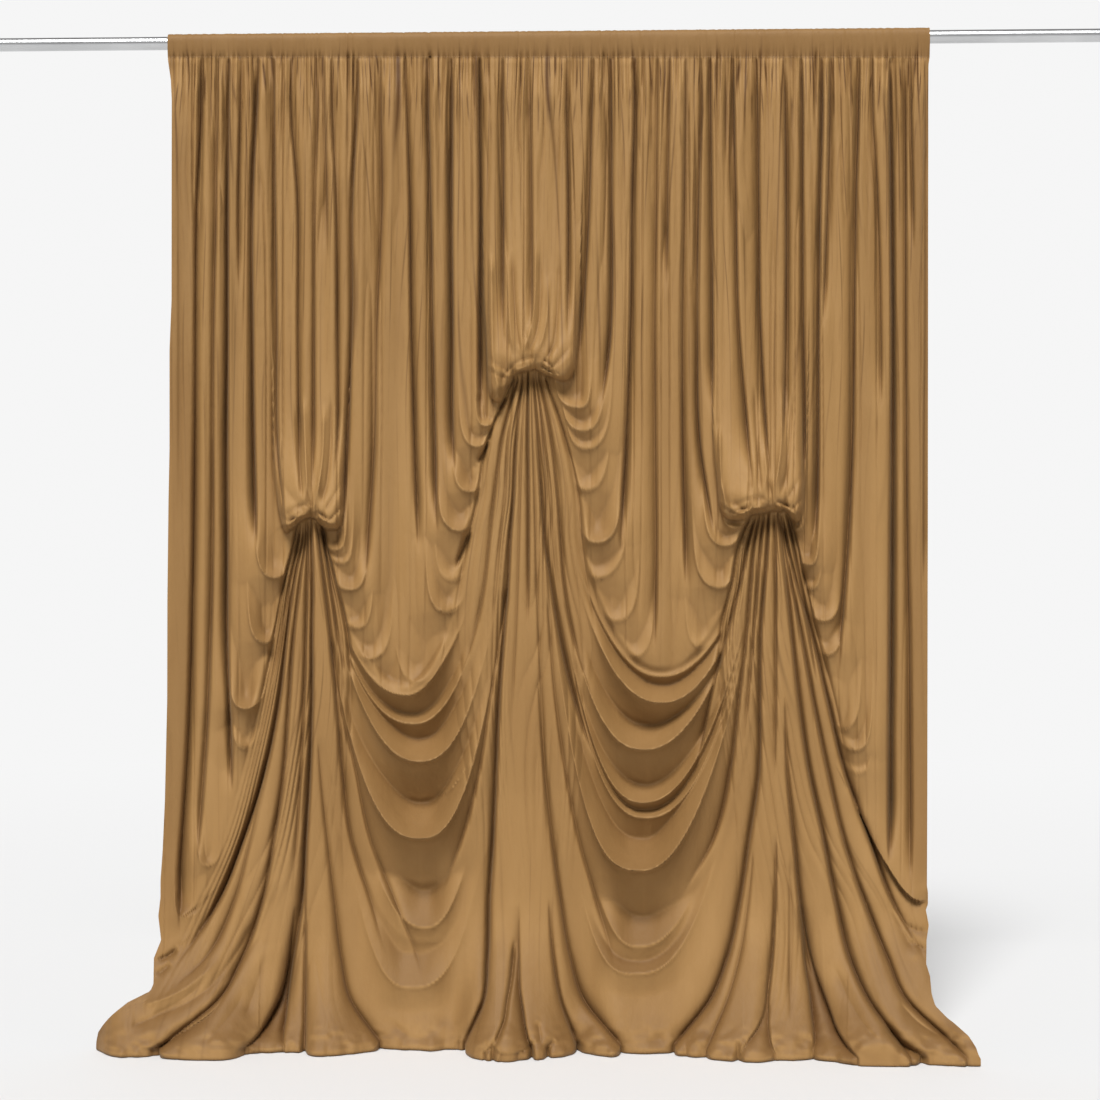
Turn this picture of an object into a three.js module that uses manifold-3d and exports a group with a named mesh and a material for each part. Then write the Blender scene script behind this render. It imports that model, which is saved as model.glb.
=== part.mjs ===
import * as THREE from "three";
import Module from "manifold-3d";

// Sizes in millimetres, +Z up, the cloth's face toward -Y, the origin on the pole's axis.
const POLE_RADIUS = 20;
const POLE_LENGTH = 3600;
const POLE_SIDES = 48;
const CLOTH = 2.2;
const POCKET_CLEARANCE = 2;
const POCKET_HALF_WIDTH = 1168;
const POCKET_COLUMNS = 12;
const POCKET_SIDES = 10;
const STITCH_Z = -50;
const SEAM_DEPTH = 9;
const SEAM_THICKNESS = 6;
const FLOOR_Z = -3030;
const FOOT_ROLL = 16;
const FOOT_SET_BACK = 5;
const FOOT_DROP = 1052;
const TUCK = 70;

// The layout grid: fold lines are drawn in steps across and steps down (drops).
// A fold that stands forward is narrower than it is drawn by its depth over REACH.
const STEP = 3.05;
const MIDDLE = 550;
const LEVEL = 550;
const LEVEL_Z = -1555;
const REACH = 6250;
const SKEW = 0.035;

// The mesh: columns across the panel, rows down it.
const COLUMNS = 84;
const TIE_CROWDING = 0.62;
const TIE_SPREAD = 70;
const EDGE_SPREAD = 90;
const SNAP = 0.45;

// The three places where the cloth is drawn together, with the puff that hangs over each.
const TIES = [
  { x: 311, drop: 522, puffX: 309, puffHalf: 31, puffHigh: 52 },
  { x: 531, drop: 372, puffX: 536, puffHalf: 42, puffHigh: 60 },
  { x: 772, drop: 513, puffX: 773, puffHalf: 34, puffHigh: 52 },
];

// How far the cloth hangs in front of the pole's axis at each drop, before any fold.
const LEAN = [
  { drop: 40, out: 4 },
  { drop: 60, out: 9 },
  { drop: 80, out: 20 },
  { drop: 110, out: 25 },
  { drop: 330, out: 42 },
  { drop: 500, out: 58 },
  { drop: 700, out: 86 },
  { drop: 850, out: 120 },
  { drop: 950, out: 158 },
  { drop: 1010, out: 205 },
  { drop: 1060, out: 278 },
];

// How far the foot of the cloth stands forward on the floor.
const FOOT = [
  { x: 99, out: 236 },
  { x: 130, out: 288 },
  { x: 165, out: 312 },
  { x: 200, out: 362 },
  { x: 235, out: 315 },
  { x: 275, out: 268 },
  { x: 330, out: 302 },
  { x: 400, out: 272 },
  { x: 440, out: 262 },
  { x: 460, out: 225 },
  { x: 505, out: 322 },
  { x: 550, out: 300 },
  { x: 580, out: 222 },
  { x: 620, out: 285 },
  { x: 700, out: 276 },
  { x: 760, out: 308 },
  { x: 820, out: 262 },
  { x: 880, out: 356 },
  { x: 945, out: 300 },
  { x: 986, out: 330 },
];

// Left and right edge of the cloth at each drop.
const LEFT_EDGE = [
  { drop: 36, x: 167 },
  { drop: 80, x: 171 },
  { drop: 300, x: 172 },
  { drop: 500, x: 169 },
  { drop: 700, x: 168 },
  { drop: 850, x: 164 },
  { drop: 916, x: 160 },
  { drop: 940, x: 163 },
  { drop: 970, x: 156 },
  { drop: 988, x: 152 },
  { drop: 1003, x: 128 },
  { drop: 1020, x: 107 },
  { drop: 1042, x: 99 },
  { drop: 1060, x: 103 },
];
const RIGHT_EDGE = [
  { drop: 36, x: 932 },
  { drop: 65, x: 929 },
  { drop: 886, x: 929 },
  { drop: 925, x: 931 },
  { drop: 964, x: 929 },
  { drop: 994, x: 935 },
  { drop: 1012, x: 945 },
  { drop: 1030, x: 966 },
  { drop: 1048, x: 981 },
  { drop: 1066, x: 986 },
];

// Upright grooves from the stitch line: x at each drop, how deep and wide, and the drop where each ends.
const UPRIGHT_DROPS = [57, 190, 330, 440, 540, 640, 740, 840];
const UPRIGHT = [
  { x: [201, 197, 195, 195, 194, 192, 189, 183], deep: 30, wide: 7, end: 950 },
  { x: [217, 216, 214, 213, 213, 211, 207, 200], deep: 14, wide: 6, end: 880 },
  { x: [229, 228, 228, 227, 227, 228, 232, 233], deep: 28, wide: 5, end: 800 },
  { x: [259, 253, 253, 254, 257, 262, 262, 262], deep: 28, wide: 6, end: 580 },
  { x: [274, 275, 277, 278, 286, 296, 296, 296], deep: 22, wide: 6, end: 530 },
  { x: [291, 297, 298, 300, 304, 304, 304, 304], deep: 16, wide: 6, end: 480 },
  { x: [318, 315, 314, 314, 312, 312, 312, 312], deep: 14, wide: 6, end: 480 },
  { x: [333, 336, 338, 337, 330, 330, 330, 330], deep: 15, wide: 6, end: 480 },
  { x: [358, 353, 352, 348, 346, 344, 344, 344], deep: 24, wide: 6, end: 550 },
  { x: [381, 382, 377, 375, 369, 366, 366, 366], deep: 18, wide: 9, end: 620 },
  { x: [405, 410, 412, 415, 419, 424, 428, 428], deep: 27, wide: 7, end: 650 },
  { x: [427, 430, 433, 435, 438, 446, 450, 450], deep: 24, wide: 6, end: 560 },
  { x: [452, 452, 453, 454, 461, 468, 468, 468], deep: 30, wide: 6, end: 500 },
  { x: [479, 480, 481, 484, 490, 490, 490, 490], deep: 26, wide: 5, end: 430 },
  { x: [503, 503, 504, 508, 508, 508, 508, 508], deep: 18, wide: 6, end: 345 },
  { x: [531, 532, 533, 533, 533, 533, 533, 533], deep: 15, wide: 6, end: 350 },
  { x: [567, 569, 569, 570, 570, 570, 570, 570], deep: 20, wide: 6, end: 345 },
  { x: [593, 590, 583, 574, 572, 572, 572, 572], deep: 20, wide: 6, end: 375 },
  { x: [611, 612, 611, 602, 600, 600, 600, 600], deep: 24, wide: 6, end: 430 },
  { x: [635, 633, 631, 627, 623, 622, 622, 622], deep: 23, wide: 6, end: 570 },
  { x: [658, 657, 656, 656, 657, 657, 657, 657], deep: 16, wide: 8, end: 670 },
  { x: [686, 685, 683, 683, 686, 688, 688, 688], deep: 19, wide: 7, end: 610 },
  { x: [702, 699, 698, 700, 714, 724, 724, 724], deep: 21, wide: 5, end: 550 },
  { x: [734, 736, 739, 748, 758, 758, 758, 758], deep: 21, wide: 6, end: 490 },
  { x: [757, 759, 761, 768, 778, 778, 778, 778], deep: 22, wide: 6, end: 480 },
  { x: [785, 787, 786, 785, 784, 784, 784, 784], deep: 22, wide: 6, end: 460 },
  { x: [802, 803, 804, 805, 804, 804, 804, 804], deep: 21, wide: 5, end: 500 },
  { x: [826, 824, 820, 819, 817, 814, 814, 814], deep: 25, wide: 6, end: 570 },
  { x: [860, 856, 855, 853, 849, 842, 838, 838], deep: 32, wide: 8, end: 700 },
  { x: [873, 878, 881, 882, 882, 882, 882, 882], deep: 14, wide: 6, end: 430 },
  { x: [890, 892, 893, 892, 892, 891, 891, 891], deep: 30, wide: 5, end: 875 },
  { x: [905, 906, 906, 907, 908, 910, 911, 912], deep: 26, wide: 6, end: 900 },
];

// Grooves of the three fans: x at each drop, the drops where each starts and ends, depth and width at both.
const FAN_DROPS = [380, 440, 500, 540, 580, 630, 700, 770, 840, 900, 960, 1000, 1040];
const FAN = [
  { x: [523, 517, 514, 511, 509, 505, 500, 497, 494, 491, 488, 484, 471], from: 380, to: 1060,
    deep: [16, 48], wide: [4, 8] },
  { x: [509, 509, 509, 509, 509, 502, 491, 480, 462, 440, 425, 420, 420], from: 590, to: 905,
    deep: [10, 32], wide: [4, 9] },
  { x: [529, 529, 529, 529, 529, 529, 529, 528, 525, 521, 518, 517, 516], from: 380, to: 1060,
    deep: [18, 34], wide: [4, 7] },
  { x: [534, 539, 543, 546, 552, 560, 576, 600, 630, 650, 660, 670, 680], from: 385, to: 790,
    deep: [16, 30], wide: [4, 7] },
  { x: [548, 548, 548, 548, 548, 551, 557, 567, 581, 598, 615, 620, 620], from: 600, to: 915,
    deep: [10, 38], wide: [4, 9] },
  { x: [536, 536, 536, 536, 536, 536, 541, 546, 554, 562, 573, 586, 624], from: 680, to: 1060,
    deep: [6, 40], wide: [5, 9] },
  { x: [311, 311, 311, 304, 295, 288, 280, 266, 246, 220, 180, 150, 125], from: 545, to: 1000,
    deep: [16, 52], wide: [4, 9] },
  { x: [312, 312, 312, 308, 301, 295, 290, 285, 277, 267, 240, 190, 150], from: 545, to: 1015,
    deep: [12, 20], wide: [4, 13] },
  { x: [312, 312, 312, 312, 313, 313, 313, 311, 307, 303, 292, 281, 256], from: 545, to: 1060,
    deep: [12, 56], wide: [4, 9] },
  { x: [314, 314, 314, 320, 325, 331, 338, 344, 353, 372, 392, 420, 440], from: 545, to: 965,
    deep: [14, 22], wide: [4, 8] },
  { x: [318, 318, 318, 318, 318, 318, 318, 322, 329, 337, 345, 353, 372], from: 740, to: 1060,
    deep: [6, 40], wide: [5, 10] },
  { x: [330, 330, 330, 330, 330, 332, 341, 357, 372, 396, 420, 430, 440], from: 640, to: 925,
    deep: [10, 34], wide: [4, 9] },
  { x: [778, 778, 778, 782, 797, 812, 829, 846, 872, 894, 926, 938, 950], from: 560, to: 985,
    deep: [8, 36], wide: [3, 7] },
  { x: [780, 780, 780, 787, 794, 802, 815, 830, 845, 862, 890, 925, 966], from: 545, to: 1040,
    deep: [12, 16], wide: [4, 11] },
  { x: [778, 778, 778, 783, 788, 793, 801, 811, 829, 845, 861, 876, 904], from: 545, to: 1060,
    deep: [12, 32], wide: [4, 9] },
  { x: [785, 785, 785, 785, 785, 785, 787, 789, 795, 803, 816, 827, 846], from: 690, to: 1060,
    deep: [8, 56], wide: [4, 9] },
  { x: [770, 770, 770, 769, 766, 762, 761, 760, 750, 738, 728, 713, 684], from: 535, to: 1060,
    deep: [18, 46], wide: [4, 10] },
  { x: [763, 763, 763, 756, 752, 748, 740, 731, 714, 682, 660, 650, 650], from: 540, to: 910,
    deep: [16, 36], wide: [4, 9] },
  { x: [760, 760, 760, 750, 742, 729, 711, 697, 675, 650, 650, 650, 650], from: 545, to: 800,
    deep: [12, 26], wide: [4, 8] },
  { x: [779, 779, 779, 779, 779, 779, 779, 779, 778, 777, 772, 770, 758], from: 830, to: 1060,
    deep: [6, 46], wide: [4, 8] },
];

// Left and right side of each fan at FAN_DROPS, one row per tie.
const FAN_SIDES = [
  { left: [300, 300, 300, 295, 285, 276, 262, 244, 224, 198, 172, 150, 130],
    right: [319, 319, 319, 326, 336, 352, 372, 392, 412, 425, 430, 430, 430] },
  { left: [514, 488, 478, 469, 461, 452, 440, 425, 410, 400, 395, 390, 390],
    right: [547, 567, 580, 583, 588, 612, 640, 660, 680, 690, 700, 700, 700] },
  { left: [757, 757, 757, 740, 733, 713, 690, 670, 650, 640, 630, 630, 630],
    right: [787, 787, 787, 797, 806, 817, 836, 851, 875, 912, 930, 950, 970] },
];

// Swags between two ties: the lowest point of each lip, the power of its curve on both sides,
// how far it stands out, and how far the swell reaches above and below the lip.
const SWAGS = [
  { left: 0, right: 1, x: 409, drop: 696, powers: [2.0, 2.6], high: 28, above: 28, below: 4 },
  { left: 0, right: 1, x: 421, drop: 762, powers: [2.0, 3.0], high: 56, above: 26, below: 14 },
  { left: 0, right: 1, x: 423, drop: 839, powers: [2.2, 3.0], high: 78, above: 32, below: 22 },
  { left: 0, right: 1, x: 424, drop: 930, powers: [2.6, 3.2], high: 30, above: 20, below: 9 },
  { left: 0, right: 1, x: 415, drop: 986, powers: [2.8, 3.4], high: 32, above: 28, below: 10 },
  { left: 1, right: 2, x: 664, drop: 702, powers: [2.1, 2.1], high: 50, above: 24, below: 10 },
  { left: 1, right: 2, x: 648, drop: 750, powers: [2.2, 2.3], high: 60, above: 24, below: 16 },
  { left: 1, right: 2, x: 646, drop: 808, powers: [2.5, 2.6], high: 38, above: 12, below: 6 },
  { left: 1, right: 2, x: 645, drop: 871, powers: [2.8, 2.8], high: 78, above: 30, below: 22 },
  { left: 1, right: 2, x: 642, drop: 960, powers: [3.0, 3.2], high: 34, above: 28, below: 10 },
];

// Hanging loops beside the fans: lowest point, x of the outer and the inner side, how far each stands out.
const LOOPS = [
  { x: 502, drop: 403, outer: 492, inner: 514, high: 20 },
  { x: 479, drop: 447, outer: 460, inner: 492, high: 22 },
  { x: 461, drop: 531, outer: 437, inner: 477, high: 24 },
  { x: 448, drop: 612, outer: 427, inner: 463, high: 22 },
  { x: 419, drop: 682, outer: 396, inner: 440, high: 12 },
  { x: 581, drop: 408, outer: 592, inner: 562, high: 20 },
  { x: 587, drop: 449, outer: 613, inner: 572, high: 20 },
  { x: 598, drop: 543, outer: 624, inner: 583, high: 26 },
  { x: 618, drop: 621, outer: 640, inner: 602, high: 16 },
  { x: 276, drop: 578, outer: 256, inner: 291, high: 24 },
  { x: 267, drop: 643, outer: 249, inner: 279, high: 22 },
  { x: 247, drop: 709, outer: 229, inner: 262, high: 28 },
  { x: 184, drop: 917, outer: 177, inner: 200, high: 12 },
  { x: 352, drop: 590, outer: 369, inner: 335, high: 22 },
  { x: 371, drop: 659, outer: 394, inner: 352, high: 16 },
  { x: 721, drop: 588, outer: 693, inner: 734, high: 22 },
  { x: 811, drop: 565, outer: 819, inner: 797, high: 22 },
  { x: 828, drop: 655, outer: 845, inner: 812, high: 20 },
  { x: 858, drop: 750, outer: 873, inner: 842, high: 16 },
];

// Rows of the mesh run along the lips: the drop of each row at seven places across the cloth,
// the count of parts from the row before, how small the first part is, and how far the row
// runs level on both sides of a tie.
const ROW_PLACES = [160, 311, 418, 531, 648, 772, 930];
const GUIDE_ROWS = [
  { drops: [110, 110, 110, 110, 110, 110, 110], parts: 2, first: 0.4, level: 0 },
  { drops: [330, 330, 330, 290, 330, 330, 330], parts: 2, first: 0.5, level: 40 },
  { drops: [500, 472, 540, 330, 530, 464, 500], parts: 3, first: 0.36, level: 44 },
  { drops: [590, 518, 693, 368, 674, 510, 590], parts: 4, first: 0.4, level: 44 },
  { drops: [600, 525, 700, 376, 681, 517, 600], parts: 1, first: 1, level: 44 },
  { drops: [655, 560, 730, 415, 707, 552, 655], parts: 2, first: 0.5, level: 36 },
  { drops: [710, 610, 763, 485, 751, 600, 710], parts: 2, first: 0.35, level: 26 },
  { drops: [800, 700, 840, 600, 872, 690, 800], parts: 3, first: 0.16, level: 20 },
  { drops: [870, 790, 931, 740, 958, 790, 870], parts: 3, first: 0.14, level: 16 },
  { drops: [920, 870, 987, 870, 990, 880, 925], parts: 2, first: 0.3, level: 10 },
  { drops: [975, 965, 1020, 980, 1022, 975, 975], parts: 2, first: 0.5, level: 0 },
];
const FOOT_PARTS = 3;
const ROW_POWER = 2.2;

// The puffs: how much of the full height is left at each step up from the tie, the arch of the
// lip, the crease above its roll, and the hollow below it.
const PUFF_RISE = [
  { up: 0, share: 1 },
  { up: 20, share: 0.95 },
  { up: 90, share: 0.42 },
  { up: 220, share: 0 },
];
const LIP_ARCH = 0.005;
const LIP_CORNER = 6;
const CREASE = { up: 18, wide: 5, deep: 11 };
const HOLLOW = { wide: 10, deep: 20 };

// The fans: how far the body stands out at each step below the tie, and the blur of its sides.
const FAN_RISE = [
  { below: 0, out: 10 },
  { below: 60, out: 30 },
  { below: 200, out: 38 },
  { below: 420, out: 14 },
];
const FAN_BLUR = 3;

// Shape helpers
const FAR = 1e4;
const mix = (a, b, t) => a + (b - a) * t;
const clamp = (v, low, high) => Math.min(high, Math.max(low, v));
function ease(a, b, v) {
  const t = clamp((v - a) / (b - a), 0, 1);
  return t * t * (3 - 2 * t);
}

// A smooth line through values at rising places, straight beyond both ends.
function lineAt(places, values, at) {
  const last = places.length - 1;
  let i = 0;
  while (i < last - 1 && at > places[i + 1]) i += 1;
  const slope = (k) => {
    const a = Math.max(0, k - 1);
    const b = Math.min(last, k + 1);
    return (values[b] - values[a]) / (places[b] - places[a]);
  };
  const span = places[i + 1] - places[i];
  const t = clamp((at - places[i]) / span, 0, 1);
  const rise = t * t * (3 - 2 * t);
  const start = t * (1 - t) * (1 - t) * span * slope(i);
  const finish = t * t * (t - 1) * span * slope(i + 1);
  return mix(values[i], values[i + 1], rise) + start + finish;
}
const columnAt = (table, key, name, at) =>
  lineAt(table.map((row) => row[key]), table.map((row) => row[name]), at);

// The cross-section of a groove: a rounded V that fades over its width.
const groove = (off, wide) => Math.exp(-(Math.hypot(off, 1.5) - 1.5) / wide);

function lean(x, drop) {
  const foot = columnAt(FOOT, "x", "out", clamp(x, 99, 986));
  return columnAt(LEAN, "drop", "out", drop) + (foot - 278) * ease(880, 1058, drop) ** 1.3;
}

function uprights(x, drop) {
  let sum = 0;
  for (const fold of UPRIGHT) {
    const off = x - lineAt(UPRIGHT_DROPS, fold.x, drop);
    const strength = (1 - ease(fold.end - 70, fold.end, drop)) * ease(50, 150, drop);
    sum -= fold.deep * strength * groove(off, fold.wide);
  }
  return sum;
}

// Distance to a hanging loop, less than zero inside it.
function loopDistance(x, drop, loop) {
  const outward = (x - loop.x) * (loop.outer - loop.x) > 0;
  const half = outward ? Math.abs(loop.outer - loop.x) + 1.5 : Math.abs(loop.inner - loop.x) + 8;
  const droop = 10 + 1.5 * Math.abs(loop.outer - loop.x);
  const t = Math.abs(x - loop.x) / half;
  const bottom = loop.drop - droop * (1 / Math.sqrt(1 - Math.min(t, 0.9999) ** 2) - 1);
  const below = t < 0.9999 ? drop - bottom : FAR;
  const up = loop.drop - drop;
  const width = half * Math.sqrt(1 - (droop / (droop + Math.max(up, 0))) ** 2);
  const beside = up > 0 ? Math.abs(x - loop.x) - width : FAR;
  const distance = Math.abs(below * beside) / Math.hypot(below, beside, 1e-6);
  return below < 0 ? -distance : distance;
}

function loops(x, drop) {
  let sum = 0;
  for (const loop of LOOPS) {
    const s = loopDistance(x, drop, loop);
    const fade = Math.exp(-((Math.max(loop.drop - drop, 0) / 90) ** 1.6));
    const under = 0.8 * Math.exp(-s / 3) - 0.4 * (s / 8) * Math.exp(-s / 8);
    sum += loop.high * fade * (s < 0 ? 0.8 * Math.exp(s / 12) : under);
  }
  return sum;
}

function swags(x, drop) {
  let sum = 0;
  for (const swag of SWAGS) {
    const tie = TIES[x < swag.x ? swag.left : swag.right];
    const power = swag.powers[x < swag.x ? 0 : 1];
    const t = clamp(Math.abs((x - swag.x) / (tie.x - swag.x)), 0.001, 1.2);
    const lip = swag.drop - (swag.drop - tie.drop) * t ** power;
    const slope = ((swag.drop - tie.drop) * power * t ** (power - 1)) / Math.abs(tie.x - swag.x);
    const s = (drop - lip) / Math.hypot(1, slope);
    const face = s < 0 ? Math.max(0, 1 + s / swag.above) ** 1.15
      : 0.35 * Math.exp(-s / 2.5) + 0.65 * Math.exp(-s / swag.below);
    sum += swag.high * (1 - ease(0.3, 1, t)) * face;
  }
  return sum;
}

// The body of the fans, and how far a point lies inside one of them (0 to 1).
function fanBody(x, drop) {
  let body = 0;
  let inside = 0;
  TIES.forEach((tie, i) => {
    const left = lineAt(FAN_DROPS, FAN_SIDES[i].left, drop);
    const right = lineAt(FAN_DROPS, FAN_SIDES[i].right, drop);
    const t = (x - left) / (right - left);
    const arch = clamp(4 * t * (1 - t), 0, 1) ** 0.45;
    const high = columnAt(FAN_RISE, "below", "out", clamp(drop - tie.drop, 0, 420));
    const past = (edge) => ease(edge - FAN_BLUR, edge + FAN_BLUR, x);
    const within = past(left) * (1 - past(right));
    const on = within * ease(tie.drop - FAN_BLUR, tie.drop + FAN_BLUR, drop);
    body = Math.max(body, on * arch * high);
    inside = Math.max(inside, on);
  });
  return { body, inside };
}

function fanGrooves(x, drop) {
  let sum = 0;
  for (const fold of FAN) {
    const at = lineAt(FAN_DROPS, fold.x, drop);
    const slope = (lineAt(FAN_DROPS, fold.x, drop + 2) - at) / 2;
    const t = clamp((drop - fold.from) / (fold.to - fold.from), 0, 1);
    const ending = fold.to < 1050 ? ease(fold.to - 35, fold.to, drop) : 0;
    const on = ease(fold.from - 6, fold.from + 14, drop) * (1 - ending);
    const off = (x - at) / Math.hypot(1, slope);
    sum -= mix(...fold.deep, t) * on * groove(off, mix(...fold.wide, t));
  }
  return sum;
}

// The puff of cloth that hangs over a tie, and the hollow right below its lip.
function puffs(x, drop) {
  let sum = 0;
  for (const tie of TIES) {
    const t = Math.abs(x - tie.puffX) / tie.puffHalf;
    const side = 1 / Math.sqrt(1 - Math.min(t, 0.999) ** 6) - 1;
    const lip = tie.drop + LIP_ARCH * (x - tie.puffX) ** 2 - LIP_CORNER * side;
    const below = t < 0.999 ? drop - lip : FAR;
    const up = tie.drop + 3 - drop;
    const width = tie.puffHalf * (1 - (LIP_CORNER / (LIP_CORNER + Math.max(up, 0))) ** 2) ** (1 / 6);
    const beside = up > 0 ? Math.abs(x - tie.puffX) - width : FAR;
    const distance = Math.abs(below * beside) / Math.hypot(below, beside, 1e-6);
    const rising = columnAt(PUFF_RISE, "up", "share", clamp(tie.drop - drop, 0, 220));
    const face = below < 0 ? 1 - 0.45 * Math.exp(-distance / 7) : 0.55 * Math.exp(-distance / 2);
    const crease = Math.exp(-(((tie.drop - drop - CREASE.up) / CREASE.wide) ** 2));
    sum += tie.puffHigh * rising * face - CREASE.deep * crease * Math.exp(-((1.4 * t) ** 4));
    if (below > 0 && drop > tie.drop - 30)
      sum -= HOLLOW.deep * Math.exp(-distance / HOLLOW.wide) * Math.exp(-((1.7 * t) ** 4));
  }
  return sum;
}

// How far the cloth's face stands in front of the pole's axis at a place of the layout grid.
function depth(x, drop) {
  const { body, inside } = fanBody(x, drop);
  const hanging = (uprights(x, drop) + loops(x, drop)) * (1 - inside);
  return lean(x, drop) + hanging + swags(x, drop) + body + fanGrooves(x, drop) + puffs(x, drop);
}

// Rows and columns of the panel
// A row is level under a puff, then falls to the next low place in the shape of a swag's lip.
function rowDrop({ drops, level }, x) {
  let i = 0;
  while (i < ROW_PLACES.length - 2 && x > ROW_PLACES[i + 1]) i += 1;
  const low = drops[i] > drops[i + 1] ? i : i + 1;
  const high = low === i ? i + 1 : i;
  const span = Math.abs(ROW_PLACES[low] - ROW_PLACES[high]);
  const off = Math.abs(x - ROW_PLACES[high]);
  const t = clamp((off - level) / (span - level), 0, 1);
  const drop = mix(drops[high], drops[low], 1 - (1 - t) ** ROW_POWER);
  return drop + LIP_ARCH * Math.min(off, level) ** 2 * (1 - t);
}
const nearness = (x, out) => 1 - (out + SKEW * (x - MIDDLE) * STEP) / REACH;
const nearnessAt = (point) => 1 - (-point.y + SKEW * point.x) / REACH;
const dropOfHeight = (z, x, out) => LEVEL + (LEVEL_Z - z) / (STEP * nearness(x, out));

function columnX(share, drop) {
  const left = columnAt(LEFT_EDGE, "drop", "x", drop);
  const right = columnAt(RIGHT_EDGE, "drop", "x", drop);
  const even = mix(LEFT_EDGE[0].x, RIGHT_EDGE[0].x, share);
  let x = even;
  TIES.forEach((tie) => {
    const off = even - tie.x;
    const drawn = ease(tie.drop - 260, tie.drop - 10, drop) * (1 - ease(tie.drop + 60, 960, drop));
    x -= off * TIE_CROWDING * drawn * Math.exp(-((off / TIE_SPREAD) ** 2));
  });
  x += (left - LEFT_EDGE[0].x) * Math.exp(-(even - LEFT_EDGE[0].x) / EDGE_SPREAD);
  x += (right - RIGHT_EDGE[0].x) * Math.exp(-(RIGHT_EDGE[0].x - even) / EDGE_SPREAD);
  return x;
}

// Pull a column onto the nearest groove, so that an edge of the mesh runs down it.
function snapped(x, drop, spacing) {
  let shift = 0;
  const pull = (at) => {
    const off = at - x;
    if (Math.abs(off) < spacing) shift += off * Math.exp(-((off / (SNAP * spacing)) ** 2));
  };
  for (const fold of UPRIGHT) {
    if (drop < fold.end) pull(lineAt(UPRIGHT_DROPS, fold.x, drop));
  }
  for (const fold of FAN) {
    if (drop > fold.from && drop < fold.to) pull(lineAt(FAN_DROPS, fold.x, drop));
  }
  let free = 1;
  for (const tie of TIES) {
    const off = Math.hypot((x - tie.x) / 60, (drop - tie.drop + 20) / 70);
    free = Math.min(free, ease(0.7, 1.3, off));
  }
  return x + clamp(shift, -SNAP * spacing, SNAP * spacing) * free;
}

function place(x, drop, out) {
  const near = nearness(x, out);
  return new THREE.Vector3((x - MIDDLE) * STEP * near, -out, LEVEL_Z + (LEVEL - drop) * STEP * near);
}

// The face of the panel, column by column from the left, each from the seam down to the tucked hem.
function facePoints() {
  const columns = [];
  for (let c = 0; c <= COLUMNS; c += 1) {
    const share = c / COLUMNS;
    const points = [];
    const footX = columnX(share, FOOT_DROP);
    const footOut = depth(footX, FOOT_DROP);
    const footDrop = dropOfHeight(FLOOR_Z + FOOT_ROLL, footX, footOut);
    const topDrop = dropOfHeight(STITCH_Z - SEAM_DEPTH / 2, columnX(share, UPRIGHT_DROPS[0]), 0);
    const atDrop = (guide) => {
      const rough = columnX(share, guide(mix(LEFT_EDGE[0].x, RIGHT_EDGE[0].x, share)));
      const drop = guide(columnX(share, guide(rough)));
      const half = 0.5 / COLUMNS;
      const spacing = Math.abs(columnX(share + half, drop) - columnX(share - half, drop));
      const edge = c === 0 || c === COLUMNS;
      const x = edge ? columnX(share, drop) : snapped(columnX(share, drop), drop, spacing);
      return { x, drop };
    };
    const add = (guide) => {
      const { x, drop } = atDrop(guide);
      points.push(place(x, drop, depth(x, drop)));
    };
    let before = () => topDrop;
    const first = place(columnX(share, topDrop), topDrop, 0);
    points.push(first.setZ(STITCH_Z - SEAM_DEPTH / 2));
    for (const row of GUIDE_ROWS) {
      const from = before;
      const to = (x) => rowDrop(row, x);
      for (let k = 1; k <= row.parts; k += 1) {
        const even = (k - 1) / Math.max(1, row.parts - 1);
        const share = row.parts === 1 ? 1 : mix(row.first, 1, even);
        add((x) => mix(from(x), to(x), share));
      }
      before = to;
    }
    for (let k = 1; k < FOOT_PARTS; k += 1)
      add((x) => mix(before(x), footDrop, k / FOOT_PARTS));
    const foot = place(footX, footDrop, footOut);
    points.push(foot);
    points.push(new THREE.Vector3(foot.x, foot.y + FOOT_SET_BACK, FLOOR_Z));
    points.push(new THREE.Vector3(foot.x, foot.y + FOOT_SET_BACK + TUCK, FLOOR_Z));
    columns.push(points);
  }
  return columns;
}

// Whether the cell's first diagonal lies nearer to the cloth's face than its second one.
function alongFirst([a, b, c, d]) {
  const middle = new THREE.Vector3().add(a).add(b).add(c).add(d).divideScalar(4);
  const near = nearnessAt(middle);
  const out = depth(MIDDLE + middle.x / (STEP * near), LEVEL + (LEVEL_Z - middle.z) / (STEP * near));
  const gap = (p, q) => Math.abs(out + (p.y + q.y) / 2);
  return gap(a, c) <= gap(b, d);
}

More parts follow.
